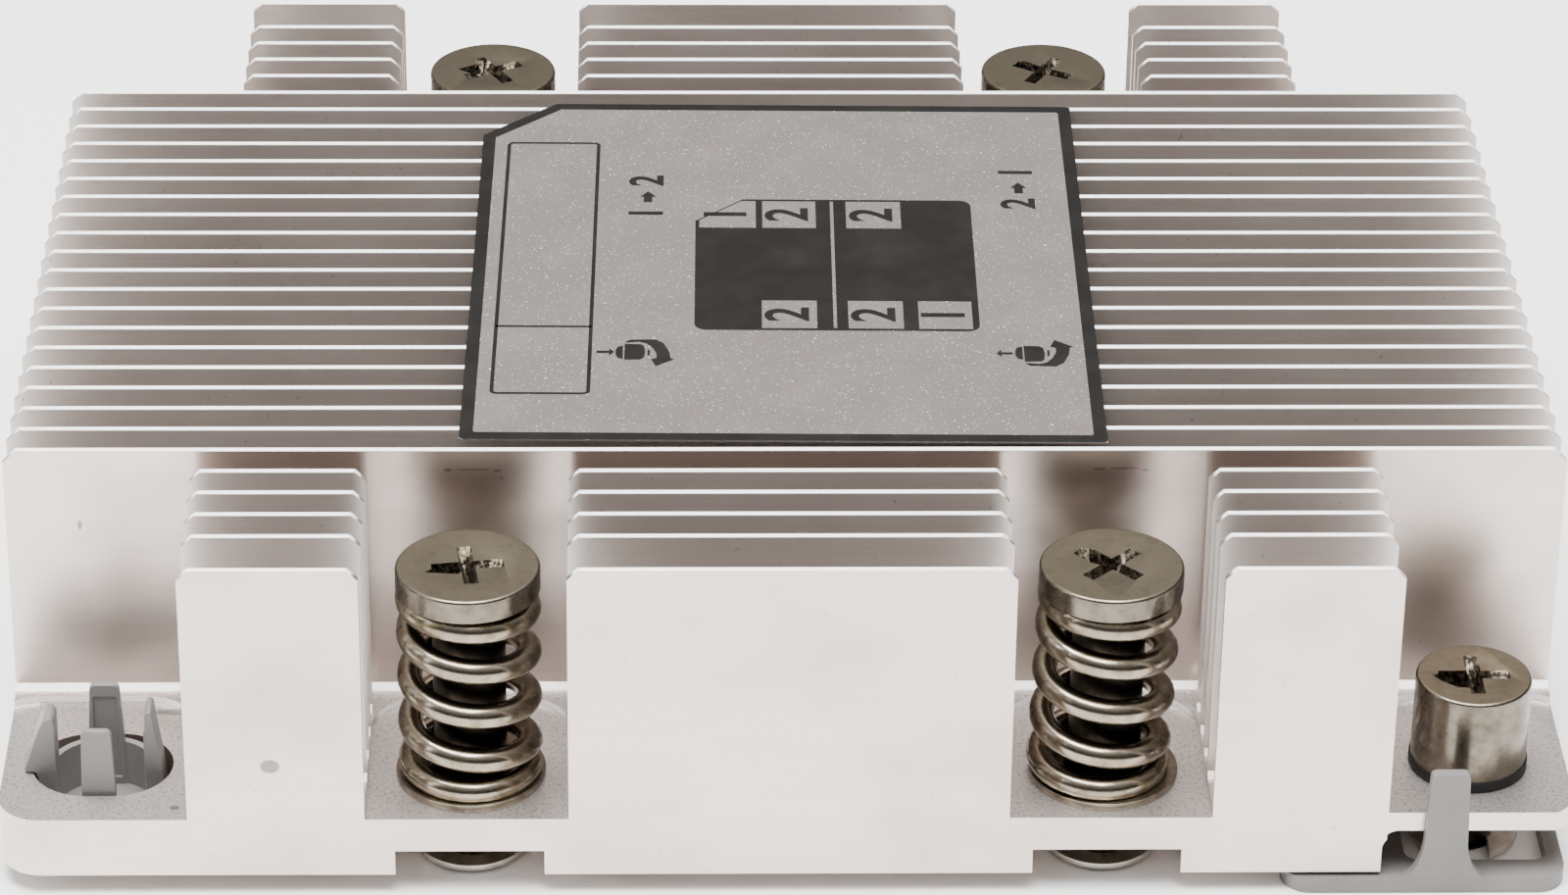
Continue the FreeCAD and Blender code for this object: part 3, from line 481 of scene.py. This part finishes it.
# --------------------------------------------------------------------------- pieces
class HEATSINK_OT_fin_block(bpy.types.Operator):
    """Rounds the edges of the extruded fin block and gives it its drawn and milled finish"""
    bl_idname = "heatsink.fin_block"
    bl_label = "Fin block"

    def execute(self, context):
        block = copy_of("heatsink_body", "fin_block")
        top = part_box("heatsink_body")[1][2]
        bevel_edges(block, lambda a, b: min(a.z, b.z) > top - 0.01 * MM and abs(a.x - b.x) > MM,
                    sizes().fin_tip)
        round_edges(block, sizes().fin_edge)
        dress(block, body_with("heatsink_body"), slot_of("heatsink_body"), milled_aluminium(), "heatsink_body")
        return {"FINISHED"}


SPRING_TURNS = {"front_left": -5.0, "front_right": 17.0, "back_right": 200.0, "back_left": 250.0}
SPRING_LEAN = {"front_right": -0.45}    # millimetres that a spring's foot stands aside of its screw
RINGS_PER_TURN = 36


def coil_height(turned, turns, low, high):
    """Height of the wire's middle: the pitch grows over the first turn and dies away over the last."""
    climb = min(turned, 1.0) ** 2 / 2 + max(turned - 1.0, 0.0) - max(turned - (turns - 1.0), 0.0) ** 2 / 2
    return low + (high - low) * climb / (turns - 1.0)


class HEATSINK_OT_springs(bpy.types.Operator):
    """Winds the round wire of the four compression springs"""
    bl_idname = "heatsink.springs"
    bl_label = "Compression springs"

    def execute(self, context):
        wire = nickel_plate("nickel_spring_wire", 0.17, colours().polished, colours().polished_dark, 0.12)
        half = sizes().wire / 2
        for place in PLACES:
            node = f"compression_spring_{place}"
            low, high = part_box(node)
            x, y, _ = middle(f"spring_screw_{place}")
            deselect()
            bpy.ops.curve.primitive_nurbs_path_add()
            path = context.object
            path.name = f"wound_spring_{place}"
            path.data.splines.clear()
            rings = round(sizes().turns * RINGS_PER_TURN)
            line = path.data.splines.new("POLY")
            line.points.add(rings)
            for index, point in enumerate(line.points):
                turned = sizes().turns * index / rings
                angle = math.radians(SPRING_TURNS[place]) - 2 * math.pi * turned
                aside = SPRING_LEAN.get(place, 0.0) * MM * (1 - turned / sizes().turns)
                point.co = (x + aside + sizes().coil * math.cos(angle), y + sizes().coil * math.sin(angle),
                            coil_height(turned, sizes().turns, low[2] + sizes().ground_bottom,
                                        high[2] - sizes().ground_top), 1.0)
            path.data.bevel_depth = half
            path.data.bevel_resolution = 5
            path.data.use_fill_caps = True
            path.matrix_world = Matrix.Identity(4)
            select(path)
            bpy.ops.object.convert(target="MESH")
            spring = context.object
            select(spring)
            bpy.ops.object.mode_set(mode="EDIT")
            bpy.ops.mesh.select_all(action="SELECT")
            bpy.ops.mesh.remove_doubles(threshold=0.002 * MM)
            bpy.ops.mesh.normals_make_consistent(inside=False)
            for ground, upper in ((low[2], False), (high[2], True)):
                bpy.ops.mesh.select_all(action="SELECT")
                bpy.ops.mesh.bisect(plane_co=(x, y, ground), plane_no=(0, 0, 1), use_fill=True,
                                    clear_inner=not upper, clear_outer=upper)
            bpy.ops.object.mode_set(mode="OBJECT")
            bpy.ops.object.shade_smooth_by_angle(angle=math.radians(50))
            spring.data.materials.append(wire)
            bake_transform(spring)
            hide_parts(node)
        return {"FINISHED"}


HEAD_HEIGHT = 1.66         # millimetres from the top of a spring screw to just under its head
CAP_HEIGHT = 6.31          # the same on a corner screw
RECESS_REACH = 2.7         # the recess lies within this distance of the middle
RECESS_DEPTH = 2.0
SATIN, TORN, SHADED_SIDE, SHADED_SHANK = range(4)     # a screw's materials: its top, its recess, its sides and its shank
# Plan outlines of the metal that a slipping driver tore from a recess, in millimetres from the screw's middle.
TEARS = {
    "spring_screw_front_left": ((-3.15, -1.0), (-0.5, -1.25), (0.15, -0.2), (-0.9, 0.45), (-1.9, 0.05)),
    "spring_screw_front_right": ((-2.75, 1.55), (-2.1, 2.35), (-1.0, 2.0), (0.25, 0.6), (-0.3, -0.45),
                                 (-1.6, 0.2)),
    "spring_screw_back_right": ((-2.7, 0.9), (-1.5, 1.9), (0.2, 0.5), (-0.4, -0.6)),
    "spring_screw_back_left": ((-3.0, 0.2), (-1.2, 1.3), (0.3, 0.4), (-0.3, -0.8), (-1.8, -0.7)),
    "corner_screw_front_right": ((-3.1, 0.05), (-2.2, 0.42), (-0.3, 0.35), (-0.35, -1.9), (-1.3, -1.75),
                                 (-2.4, -0.9)),
    "corner_screw_back_left": ((-2.7, 0.8), (-1.4, 1.2), (0.2, 0.3), (-0.4, -0.9)),
}


def tear(screw, node, x, y, top, metal):
    """Cuts a torn wedge from the edge of a recess, sloping in towards its bottom."""
    wedge = flat_shape("torn_wedge", [(x / MM + a, y / MM + b) for a, b in TEARS[node]], top + 0.3 * MM)
    for _ in (SATIN, TORN):
        wedge.data.materials.append(metal)
    select(wedge)
    bpy.ops.object.mode_set(mode="EDIT")
    bpy.ops.mesh.select_all(action="SELECT")
    bpy.ops.mesh.extrude_region_move(TRANSFORM_OT_translate={"value": (0.1 * MM, 0.0, -1.1 * MM)})
    bpy.ops.transform.resize(value=(0.55, 0.55, 1.0))
    bpy.ops.mesh.select_all(action="SELECT")
    bpy.ops.mesh.normals_make_consistent(inside=False)
    bpy.ops.object.mode_set(mode="OBJECT")
    for face in wedge.data.polygons:
        face.material_index = TORN
    apply_modifier(screw, "BOOLEAN", {"operation": "DIFFERENCE", "object": wedge, "solver": "EXACT"})
    bpy.data.objects.remove(wedge)


class HEATSINK_OT_screws(bpy.types.Operator):
    """Rounds and finishes the four spring screws and the two tall corner screws"""
    bl_idname = "heatsink.screws"
    bl_label = "Screws"

    def execute(self, context):
        tone = colours()
        satin = nickel_plate("nickel_plated_steel", 0.32, tone.nickel, tone.nickel_dark)
        torn = shaded_torn_metal()
        # painted shade: the sides are coloured darker than the tops
        turned = nickel_plate("shaded_side_nickel", 0.22, tone.turned, tone.shaded_side_dark, 0.25)
        # painted shade: dark brown for the shanks
        oiled = nickel_plate("shaded_shank_steel", 0.3, tone.oiled, tone.oil, 0.2)
        for node in TEARS:
            screw = copy_of(node, f"turned_{node}")
            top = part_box(node)[1][2]
            x, y, _ = middle(node)
            widest = (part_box(node)[1][0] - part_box(node)[0][0]) / 2
            bevel_edges(screw, lambda a, b: all(
                abs(v.z - top) < 0.01 * MM and math.dist(v[:2], (x, y)) > widest - 0.1 * MM for v in (a, b)),
                sizes().head_edge)
            screw.data.materials.clear()
            for material in (satin, torn, turned, oiled):
                screw.data.materials.append(material)
            under = top - (CAP_HEIGHT if node.startswith("corner") else HEAD_HEIGHT) * MM
            for face in screw.data.polygons:
                out = math.dist(face.center[:2], (x, y))
                depth = top - face.center.z
                # painted shade: the recess is coloured near black
                if out < RECESS_REACH * MM and 0.05 * MM < depth < RECESS_DEPTH * MM:
                    face.material_index = TORN
                # painted shade: all below a head or cap is coloured dark brown
                elif face.center.z < under:
                    face.material_index = SHADED_SHANK
                else:
                    # painted shade: the sides are coloured darker than the tops
                    face.material_index = SHADED_SIDE if abs(face.normal.z) < 0.9 else SATIN
            tear(screw, node, x, y, top, torn)
            smooth(screw)
            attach(screw, body_with(node))
            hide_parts(node)
        return {"FINISHED"}


class HEATSINK_OT_washers(bpy.types.Operator):
    """Rounds and finishes the washers and the retaining clips"""
    bl_idname = "heatsink.washers"
    bl_label = "Washers and clips"

    def execute(self, context):
        tone = colours()
        steel = nickel_plate("nickel_plated_washer", 0.28, tone.washer, tone.washer_dark)
        clip = nickel_plate("bright_clip_steel", 0.38, tone.clip, tone.clip_dull)
        black = black_rubber()
        groups = [("flat_washer", PLACES, steel), ("retaining_clip", PLACES, clip),
                  ("corner_washer", CORNERS, black), ("corner_clip", CORNERS, clip)]
        for kind, places, material in groups:
            for place in places:
                node = f"{kind}_{place}"
                piece = copy_of(node, f"rounded_{node}")
                round_edges(piece, sizes().turned_edge / 2)
                dress(piece, body_with(node), slot_of(node), material, node)
        return {"FINISHED"}


# The snap post and the tab, in millimetres.  Heights are above the floor that the object stands on.
# Outlines: distance from the snap post's middle, then height.
LEFT_FINGER = ((-3.1, 2.0), (-4.35, 2.0), (-4.4, 5.6), (-4.6, 6.1), (-5.1, 6.1), (-5.3, 6.2), (-5.26, 6.45),
               (-5.05, 7.0), (-4.78, 7.9), (-4.48, 8.8), (-4.18, 9.6), (-3.9, 10.15), (-3.6, 10.4), (-3.3, 10.3),
               (-3.1, 9.95))
RIGHT_FINGER = ((2.95, 2.0), (4.3, 2.0), (4.25, 5.5), (4.12, 6.8), (3.92, 8.2), (3.74, 9.5), (3.62, 10.6),
                (3.48, 10.88), (3.24, 10.88), (3.1, 10.6), (3.1, 9.45), (2.95, 9.25))
FRONT_FINGER = ((-1.2, 2.0), (1.2, 2.0), (1.17, 6.5), (1.03, 10.6), (0.94, 10.86), (0.7, 11.0), (-0.7, 11.0),
                (-0.94, 10.86), (-1.03, 10.6), (-1.17, 6.5))
BACK_FINGER = ((-1.4, 2.0), (1.4, 2.0), (1.22, 6.5), (1.04, 10.1), (0.95, 10.37), (0.7, 10.5), (-0.7, 10.5),
               (-0.95, 10.37), (-1.04, 10.1), (-1.22, 6.5))
BACK_FINGER_PANEL = ((-0.85, 3.0), (0.95, 3.0), (0.82, 9.4), (0.7, 9.55), (-0.72, 9.55), (-0.8, 9.4))
FINGER_WIDTH, FINGER_WALL = 2.24, 0.55
FINGER_INNER, FINGER_OUTER = 3.1, 3.65     # the fingers' faces, from the post's middle
PANEL_FACE, PANEL_DEEP = 3.0, 0.24         # the cutter that sinks the back finger's panel
ROOT = 1.1                 # the collar and the tab start this high, inside the carrier's floor
CLEARED = 1.21             # all that stands above this is cut away before the post and the tab are made anew
CLEARED_TOP = 12.0
COLLAR_RADIUS, COLLAR_BORE, COLLAR_TOP = 3.92, 3.4, 5.9
CUT_TOP = 6.2              # the collar's cutters end above it
COLLAR_FLOOR = 2.4         # top of the floor inside the collar
TAB_MIDDLE, TAB_HALF, TAB_TOP, TAB_THICK = 45.0, 1.48, 9.6, 0.79
TAB_FOOT, TAB_RISE = 1.75, 3.3     # how far the tab's foot spreads at each side, and how high


def upright_slab(name, outline, x, y, thickness):
    """A slab whose outline, seen from the front, stands round x, and which is thick from y backwards."""
    deselect()
    mesh = bpy.data.meshes.new(name)
    mesh.from_pydata([((x + a) * MM, y * MM, h * MM) for a, h in outline], [], [list(range(len(outline)))])
    slab = bpy.data.objects.new(name, mesh)
    bpy.context.scene.collection.objects.link(slab)
    select(slab)
    bpy.ops.object.mode_set(mode="EDIT")
    bpy.ops.mesh.select_all(action="SELECT")
    bpy.ops.mesh.extrude_region_move(TRANSFORM_OT_translate={"value": (0.0, thickness * MM, 0.0)})
    bpy.ops.mesh.select_all(action="SELECT")
    bpy.ops.mesh.normals_make_consistent(inside=False)
    bpy.ops.object.mode_set(mode="OBJECT")
    return slab


def block_slab(name, half, low, high, x, y, thickness):
    return upright_slab(name, ((-half, low), (half, low), (half, high), (-half, high)), x, y, thickness)


def cylinder(name, radius, x, y, low, high):
    deselect()
    bpy.ops.mesh.primitive_cylinder_add(vertices=64, radius=radius * MM, depth=(high - low) * MM,
                                        location=(x * MM, y * MM, (low + high) / 2 * MM))
    piece = bpy.context.object
    piece.name = name
    bpy.ops.object.transform_apply(location=True)
    return piece


def combine(piece, tool, operation):
    """Adds a tool's solid to the piece or cuts it away, and removes the tool."""
    apply_modifier(piece, "BOOLEAN", {"operation": operation, "object": tool, "solver": "EXACT"})
    bpy.data.objects.remove(tool)


class HEATSINK_OT_carrier(bpy.types.Operator):
    """Rounds and finishes the moulded processor carrier, with its snap post and its tab"""
    bl_idname = "heatsink.carrier"
    bl_label = "Processor carrier"

    def execute(self, context):
        node = "processor_carrier"
        carrier = copy_of(node, "moulded_carrier")
        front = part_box(node)[0][1] / MM
        x, y = (v / MM for v in middle("corner_screw_front_right")[:2])
        x = -x
        combine(carrier, block_slab("post_room", 6.3, CLEARED, CLEARED_TOP, x, y - 5.9, 11.8), "DIFFERENCE")
        combine(carrier, block_slab("tab_room", 3.6, CLEARED, CLEARED_TOP, TAB_MIDDLE, front - 0.2, 1.1),
                "DIFFERENCE")
        round_edges(carrier, sizes().moulded_edge)

        collar = cylinder("collar", COLLAR_RADIUS, x, y, ROOT, COLLAR_TOP)
        combine(collar, cylinder("collar_bore", COLLAR_BORE, x, y, COLLAR_FLOOR, CUT_TOP), "DIFFERENCE")
        combine(collar, block_slab("collar_front", 4.5, COLLAR_FLOOR, CUT_TOP, x, y - 4.5, 4.0),
                "DIFFERENCE")
        fingers = [upright_slab("left_finger", LEFT_FINGER, x, y - FINGER_WIDTH / 2, FINGER_WIDTH),
                   upright_slab("right_finger", RIGHT_FINGER, x, y - FINGER_WIDTH / 2, FINGER_WIDTH),
                   upright_slab("front_finger", FRONT_FINGER, x, y - FINGER_OUTER, FINGER_WALL),
                   upright_slab("back_finger", BACK_FINGER, x, y + FINGER_INNER, FINGER_WALL)]
        panel = upright_slab("panel", BACK_FINGER_PANEL, x, y + PANEL_FACE, PANEL_DEEP)
        combine(fingers[-1], panel, "DIFFERENCE")
        side = [(TAB_HALF + TAB_FOOT * (1 - math.sin(math.radians(t))),
                 ROOT + TAB_RISE * (1 - math.cos(math.radians(t)))) for t in range(0, 91, 10)]
        side += [(TAB_HALF - 0.15, TAB_TOP - 0.35), (TAB_HALF - 0.25, TAB_TOP - 0.1), (TAB_HALF - 0.5, TAB_TOP)]
        tab = upright_slab("tab", [(-a, h) for a, h in side] + side[::-1], TAB_MIDDLE, front + 0.01, TAB_THICK)
        for part in [collar, *fingers, tab]:
            round_edges(part, sizes().moulded_edge * 0.8)
        for part in [collar, *fingers, tab]:
            combine(carrier, part, "UNION")
        smooth(carrier)
        dress(carrier, body_with(node), slot_of(node), moulded_plastic(), node)
        return {"FINISHED"}


# --------------------------------------------------------------------------- label
def flat_shape(name, points, height):
    """A flat closed shape from plan points in millimetres."""
    deselect()
    mesh = bpy.data.meshes.new(name)
    mesh.from_pydata([(x * MM, y * MM, height) for x, y in points], [], [list(range(len(points)))])
    piece = bpy.data.objects.new(name, mesh)
    bpy.context.scene.collection.objects.link(piece)
    return piece


def rounded_box(x_low, x_high, y_low, y_high, radius=0.0, cut_back_left=0.0, steps=6):
    """Plan points of a box with round corners, one of which may be cut off instead."""
    corners = ((x_high, y_low, -90.0), (x_high, y_high, 0.0), (x_low, y_high, 90.0), (x_low, y_low, 180.0))
    points = []
    for x, y, start in corners:
        if cut_back_left and (x, y) == (x_low, y_high):
            points += [(x + cut_back_left, y), (x, y - cut_back_left)]
            continue
        if not radius:
            points.append((x, y))
            continue
        centre_x = x - radius if x == x_high else x + radius
        centre_y = y - radius if y == y_high else y + radius
        for step in range(steps + 1):
            angle = math.radians(start + 90.0 * step / steps)
            points.append((centre_x + radius * math.cos(angle), centre_y + radius * math.sin(angle)))
    return points


def ring_shape(name, outer, inner, height):
    """A printed line between two outlines that have as many points as each other."""
    deselect()
    count = len(outer)
    mesh = bpy.data.meshes.new(name)
    faces = [(i, (i + 1) % count, count + (i + 1) % count, count + i) for i in range(count)]
    mesh.from_pydata([(x * MM, y * MM, height) for x, y in outer + inner], [], faces)
    piece = bpy.data.objects.new(name, mesh)
    bpy.context.scene.collection.objects.link(piece)
    return piece


def text_shape(name, text, x, y, tall, height):
    """A plain digit that reads from the front edge to the back, as a flat mesh."""
    deselect()
    bpy.ops.object.text_add(location=(0, 0, 0))
    words = bpy.context.object
    words.name = name
    words.data.body = text
    words.data.size = tall * MM
    words.data.align_x = "CENTER"
    words.data.align_y = "CENTER"
    words.data.resolution_u = 6
    words.data.offset = 0.09 * MM
    bpy.ops.object.convert(target="MESH")
    words = bpy.context.object
    words.data.transform(Matrix.Translation((x * MM, y * MM, height)) @
                         Matrix.Rotation(math.radians(90), 4, "Z"))
    words.matrix_world = Matrix.Identity(4)
    return words


def join(pieces, name):
    deselect()
    for piece in pieces:
        piece.select_set(True)
    bpy.context.view_layer.objects.active = pieces[0]
    bpy.ops.object.join()
    joined = bpy.context.object
    joined.name = name
    joined.data.name = name
    return joined


# The label, in millimetres.  A box is its left and right side, then its front and back.
LABEL_NARROWER = 0.22      # the film ends this far inside its place at each side
LABEL_ASIDE = -0.5         # it was stuck on a little too far forward
LABEL_TURN = -0.75         # and askew by so many degrees
LABEL_CUT, LABEL_CORNER = 5.4, 0.35
LAYER = 0.012              # the print's layers lie this far above one another
NOTE_FRAME = (-20.45, -13.4, -20.1, 19.1)
NOTE_DIVIDER = -10.3
ORDER_PLATE = (-6.15, 14.3, -10.55, 9.82)
PLATE_LINE = (3.83, 4.07, -10.2, 9.5)
SQUARES = (
    # digit, box and the cut of its back left corner
    ("1", (-5.86, -1.69, 5.23, 9.5), 3.1), ("2", (-1.2, 2.75, 5.23, 9.5), 0.0),
    ("2", (5.0, 9.05, 5.23, 9.5), 0.0),
    ("2", (-1.3, 2.65, -10.25, -6.1), 0.0), ("2", (4.9, 8.85, -10.25, -6.1), 0.0),
    ("1", (9.95, 13.8, -10.25, -6.1), 0.0),
)
DIGIT_TALL, MARK_TALL = 4.4, 3.5
ORDER_MARKS = {"left": (-9.7, (("1", 7.5), ("2", 12.8))), "right": (18.0, (("2", 9.4), ("1", 14.5)))}
PICTOGRAM_PLACES = (("left", -13.07, -13.9, 1), ("right", 15.3, -13.8, -1))
# Plan outlines of an arrow, and of a screw that is pressed and turned.
ARROW = ((-0.32, -0.87), (0.32, -0.87), (0.32, 0.0), (0.62, 0.0), (0.0, 0.87), (-0.62, 0.0), (-0.32, 0.0))
PICTOGRAM = (
    ((1.88, -1.05), (1.88, 0.95), (1.5, 0.75), (1.35, 0.3), (1.35, -0.35), (1.5, -0.85)),
    ((1.98, -1.13), (3.1, -1.1), (3.38, -0.8), (3.46, 0.0), (3.38, 0.9), (3.15, 1.15), (1.98, 1.2)),
    ((2.17, 1.38), (2.99, 1.52), (3.52, 1.28), (3.93, 0.72), (4.23, -0.12), (4.28, -0.85), (3.87, -1.04),
     (4.23, -2.05), (5.55, -1.01), (5.28, -0.92), (5.16, 0.12), (4.75, 1.33), (4.17, 1.88), (2.35, 1.81),
     (2.0, 1.45)),
    ((3.62, -0.5), (3.8, -0.5), (3.8, 0.3), (3.62, 0.35)),
)
POINTERS = {
    "left": (((0.0, -0.17), (0.9, -0.17), (0.9, -0.55), (1.27, 0.0), (0.9, 0.55), (0.9, 0.17), (0.0, 0.17)),),
    "right": (((0.0, 0.0), (0.37, -0.55), (0.37, -0.17), (1.2, -0.17), (1.2, 0.17), (0.37, 0.17),
               (0.37, 0.55)),),
}


class HEATSINK_OT_label(bpy.types.Operator):
    """Lays the printed film label on the fin tips"""
    bl_idname = "heatsink.label"
    bl_label = "Label"

    def execute(self, context):
        low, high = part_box("top_label")
        top = high[2]
        print_height = top - 2 * LAYER * MM
        left, right = low[0] / MM + LABEL_NARROWER, high[0] / MM - LABEL_NARROWER
        front, back = low[1] / MM, high[1] / MM
        body = body_with("top_label")
        centre = Vector(((left + right) / 2 * MM, (front + back) / 2 * MM, 0.0))
        askew = (Matrix.Translation(centre + Vector((0.0, LABEL_ASIDE * MM, 0.0))) @
                 Matrix.Rotation(math.radians(LABEL_TURN), 4, "Z") @ Matrix.Translation(-centre))
        film = copy_of("top_label", "label_film")
        film.data.transform(Matrix.Translation((0, 0, -3 * LAYER * MM)) @ Matrix.Diagonal(
            ((right - left) / (right - left + 2 * LABEL_NARROWER), 1.0, 1.0, 1.0)))

        border, line = sizes().label_border / MM, sizes().label_line / MM
        slant = border * (1 - math.tan(math.radians(22.5)))
        outer = rounded_box(left, right, front, back, LABEL_CORNER, LABEL_CUT)
        inner = rounded_box(left + border, right - border, front + border, back - border, 0.2, LABEL_CUT - slant)
        ink = [ring_shape("border", outer, inner, print_height)]

        frame_left, frame_right, frame_front, frame_back = NOTE_FRAME
        frame_inner = rounded_box(frame_left + line, frame_right - line, frame_front + line, frame_back - line,
                                  0.5 - line)
        ink.append(ring_shape("note_frame", rounded_box(*NOTE_FRAME, 0.5), frame_inner, print_height))
        divider = rounded_box(frame_left + 0.1, frame_right - 0.1, NOTE_DIVIDER, NOTE_DIVIDER + line)
        ink.append(flat_shape("note_divider", divider, print_height))
        ink.append(flat_shape("order_plate", rounded_box(*ORDER_PLATE, 0.9, 3.5), print_height))

        pale, digits = [], []
        for index, (digit, box, cut) in enumerate(SQUARES):
            pale.append(flat_shape(f"square_{index}", rounded_box(*box, 0.0, cut), top - LAYER * MM))
            digits.append(text_shape(f"digit_{index}", digit, (box[0] + box[1]) / 2, (box[2] + box[3]) / 2,
                                     DIGIT_TALL, top))
        pale.append(flat_shape("plate_line", rounded_box(*PLATE_LINE), top - LAYER * MM))
        for side, (x, places) in ORDER_MARKS.items():
            for digit, y in places:
                ink.append(text_shape(f"order_{side}_{digit}", digit, x, y, MARK_TALL, print_height))
            y = sum(place[1] for place in places) / 2
            ink.append(flat_shape(f"arrow_{side}", [(x + a, y + b) for a, b in ARROW], print_height))
        for side, x, y, flip in PICTOGRAM_PLACES:
            for index, outline in enumerate(PICTOGRAM + POINTERS[side]):
                points = [(x + a, y + flip * b) for a, b in outline][::flip]
                ink.append(flat_shape(f"pictogram_{side}_{index}", points, print_height))
        pieces = (film, join(pale, "label_print_pale"), join(ink + digits, "label_print_dark"))
        for piece, finish_of in zip(pieces, (label_film(), label_film(), label_ink())):
            piece.data.transform(askew)
            dress(piece, body, "label_film", finish_of, *(("top_label",) if piece is film else ()))
        return {"FINISHED"}


# --------------------------------------------------------------------------- stage
CAMERA_PLACE = (-9.76, -369.17, 220.74)            # millimetres
CAMERA_TILT = 29.72                                # degrees down from level
CAMERA_HEADING, CAMERA_ROLL = -0.0279, 0.0128      # radians
CAMERA_LENS = 131.03                               # focal length in millimetres
LIGHTS = (
    # name, place and size in metres, power in watts
    ("overhead_softbox", (-0.05, -0.1, 0.85), (0.7, 0.55), 29.0),
    ("left_softbox", (-0.8, -0.3, 0.45), (0.4, 0.6), 4.0),
)


class HEATSINK_OT_stage(bpy.types.Operator):
    """Sets the pale floor, the soft lights and the camera"""
    bl_idname = "heatsink.stage"
    bl_label = "Stage"

    def execute(self, context):
        low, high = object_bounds()
        deselect()
        bpy.ops.mesh.primitive_plane_add(size=3.0, location=(0, 0.3, low[2]))
        floor = context.object
        floor.name = "paper_floor"
        floor.data.materials.append(stage_paper())
        floor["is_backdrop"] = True

        world = bpy.data.worlds.new("studio")
        context.scene.world = world
        world.use_nodes = True
        world.node_tree.nodes.clear()
        way = add_node(world, "ShaderNodeTexCoord").outputs["Generated"]
        parts = add_node(world, "ShaderNodeSeparateXYZ", None, Vector=way).outputs
        high_up = spread(world, parts["Z"], 0.35, 0.9)
        from_front = spread(world, parts["Y"], -0.2, 0.35)
        glow = math_node(world, "ADD", math_node(world, "MULTIPLY", high_up, 0.9),
                         math_node(world, "MULTIPLY", from_front, 0.10))
        sky = add_node(world, "ShaderNodeBackground", None, Color=colours().sky,
                       Strength=math_node(world, "ADD", glow, 0.06))
        add_node(world, "ShaderNodeOutputWorld", None, Surface=sky.outputs["Background"])

        for name, place, size, power in LIGHTS:
            deselect()
            bpy.ops.object.light_add(type="AREA", location=place)
            light = context.object
            light.name = name
            light.data.shape = "RECTANGLE"
            light.data.size, light.data.size_y = size
            light.data.energy = power
            aim = Vector((0.0, 0.0, 0.01)) - Vector(place)
            light.rotation_euler = aim.to_track_quat("-Z", "Y").to_euler()

        tilt, roll = math.radians(CAMERA_TILT), CAMERA_ROLL
        turn = Matrix.Rotation(CAMERA_HEADING, 3, "Z")
        forward = turn @ Vector((0, math.cos(tilt), -math.sin(tilt)))
        right = turn @ Vector((1, 0, 0))
        up = right.cross(forward)
        camera_x = math.cos(roll) * right + math.sin(roll) * up
        camera_y = -math.sin(roll) * right + math.cos(roll) * up
        deselect()
        bpy.ops.object.camera_add(location=[v * MM for v in CAMERA_PLACE])
        camera = context.object
        camera.name = "product_camera"
        camera.data.sensor_width = 36.0
        camera.data.lens = CAMERA_LENS
        camera.data.clip_start = 0.01
        camera.rotation_euler = Matrix((camera_x, camera_y, -forward)).transposed().to_euler()
        context.scene.camera = camera
        return {"FINISHED"}


class HEATSINK_PT_pieces(bpy.types.Panel):
    """Lists the heatsink's sizes, colours and pieces"""
    bl_label = "Heatsink"
    bl_idname = "HEATSINK_PT_pieces"
    bl_space_type = "VIEW_3D"
    bl_region_type = "UI"
    bl_category = "Heatsink"

    def draw(self, context):
        for group in (context.scene.heatsink_sizes, context.scene.heatsink_colours):
            for name in group.__annotations__:
                self.layout.prop(group, name)
        for operator in OPERATORS:
            self.layout.operator(operator.bl_idname)


OPERATORS = (HEATSINK_OT_fin_block, HEATSINK_OT_screws, HEATSINK_OT_springs, HEATSINK_OT_washers,
             HEATSINK_OT_carrier, HEATSINK_OT_label, HEATSINK_OT_stage)
CLASSES = (HeatsinkSizes, HeatsinkColours) + OPERATORS + (HEATSINK_PT_pieces,)


def register():
    for cls in CLASSES:
        bpy.utils.register_class(cls)
    bpy.types.Scene.heatsink_sizes = bpy.props.PointerProperty(type=HeatsinkSizes)
    bpy.types.Scene.heatsink_colours = bpy.props.PointerProperty(type=HeatsinkColours)


def unregister():
    del bpy.types.Scene.heatsink_colours
    del bpy.types.Scene.heatsink_sizes
    for cls in reversed(CLASSES):
        bpy.utils.unregister_class(cls)


def main():
    register()
    for operator in OPERATORS:
        group, name = operator.bl_idname.split(".")
        getattr(getattr(bpy.ops, group), name)()


if __name__ == "__main__":
    main()
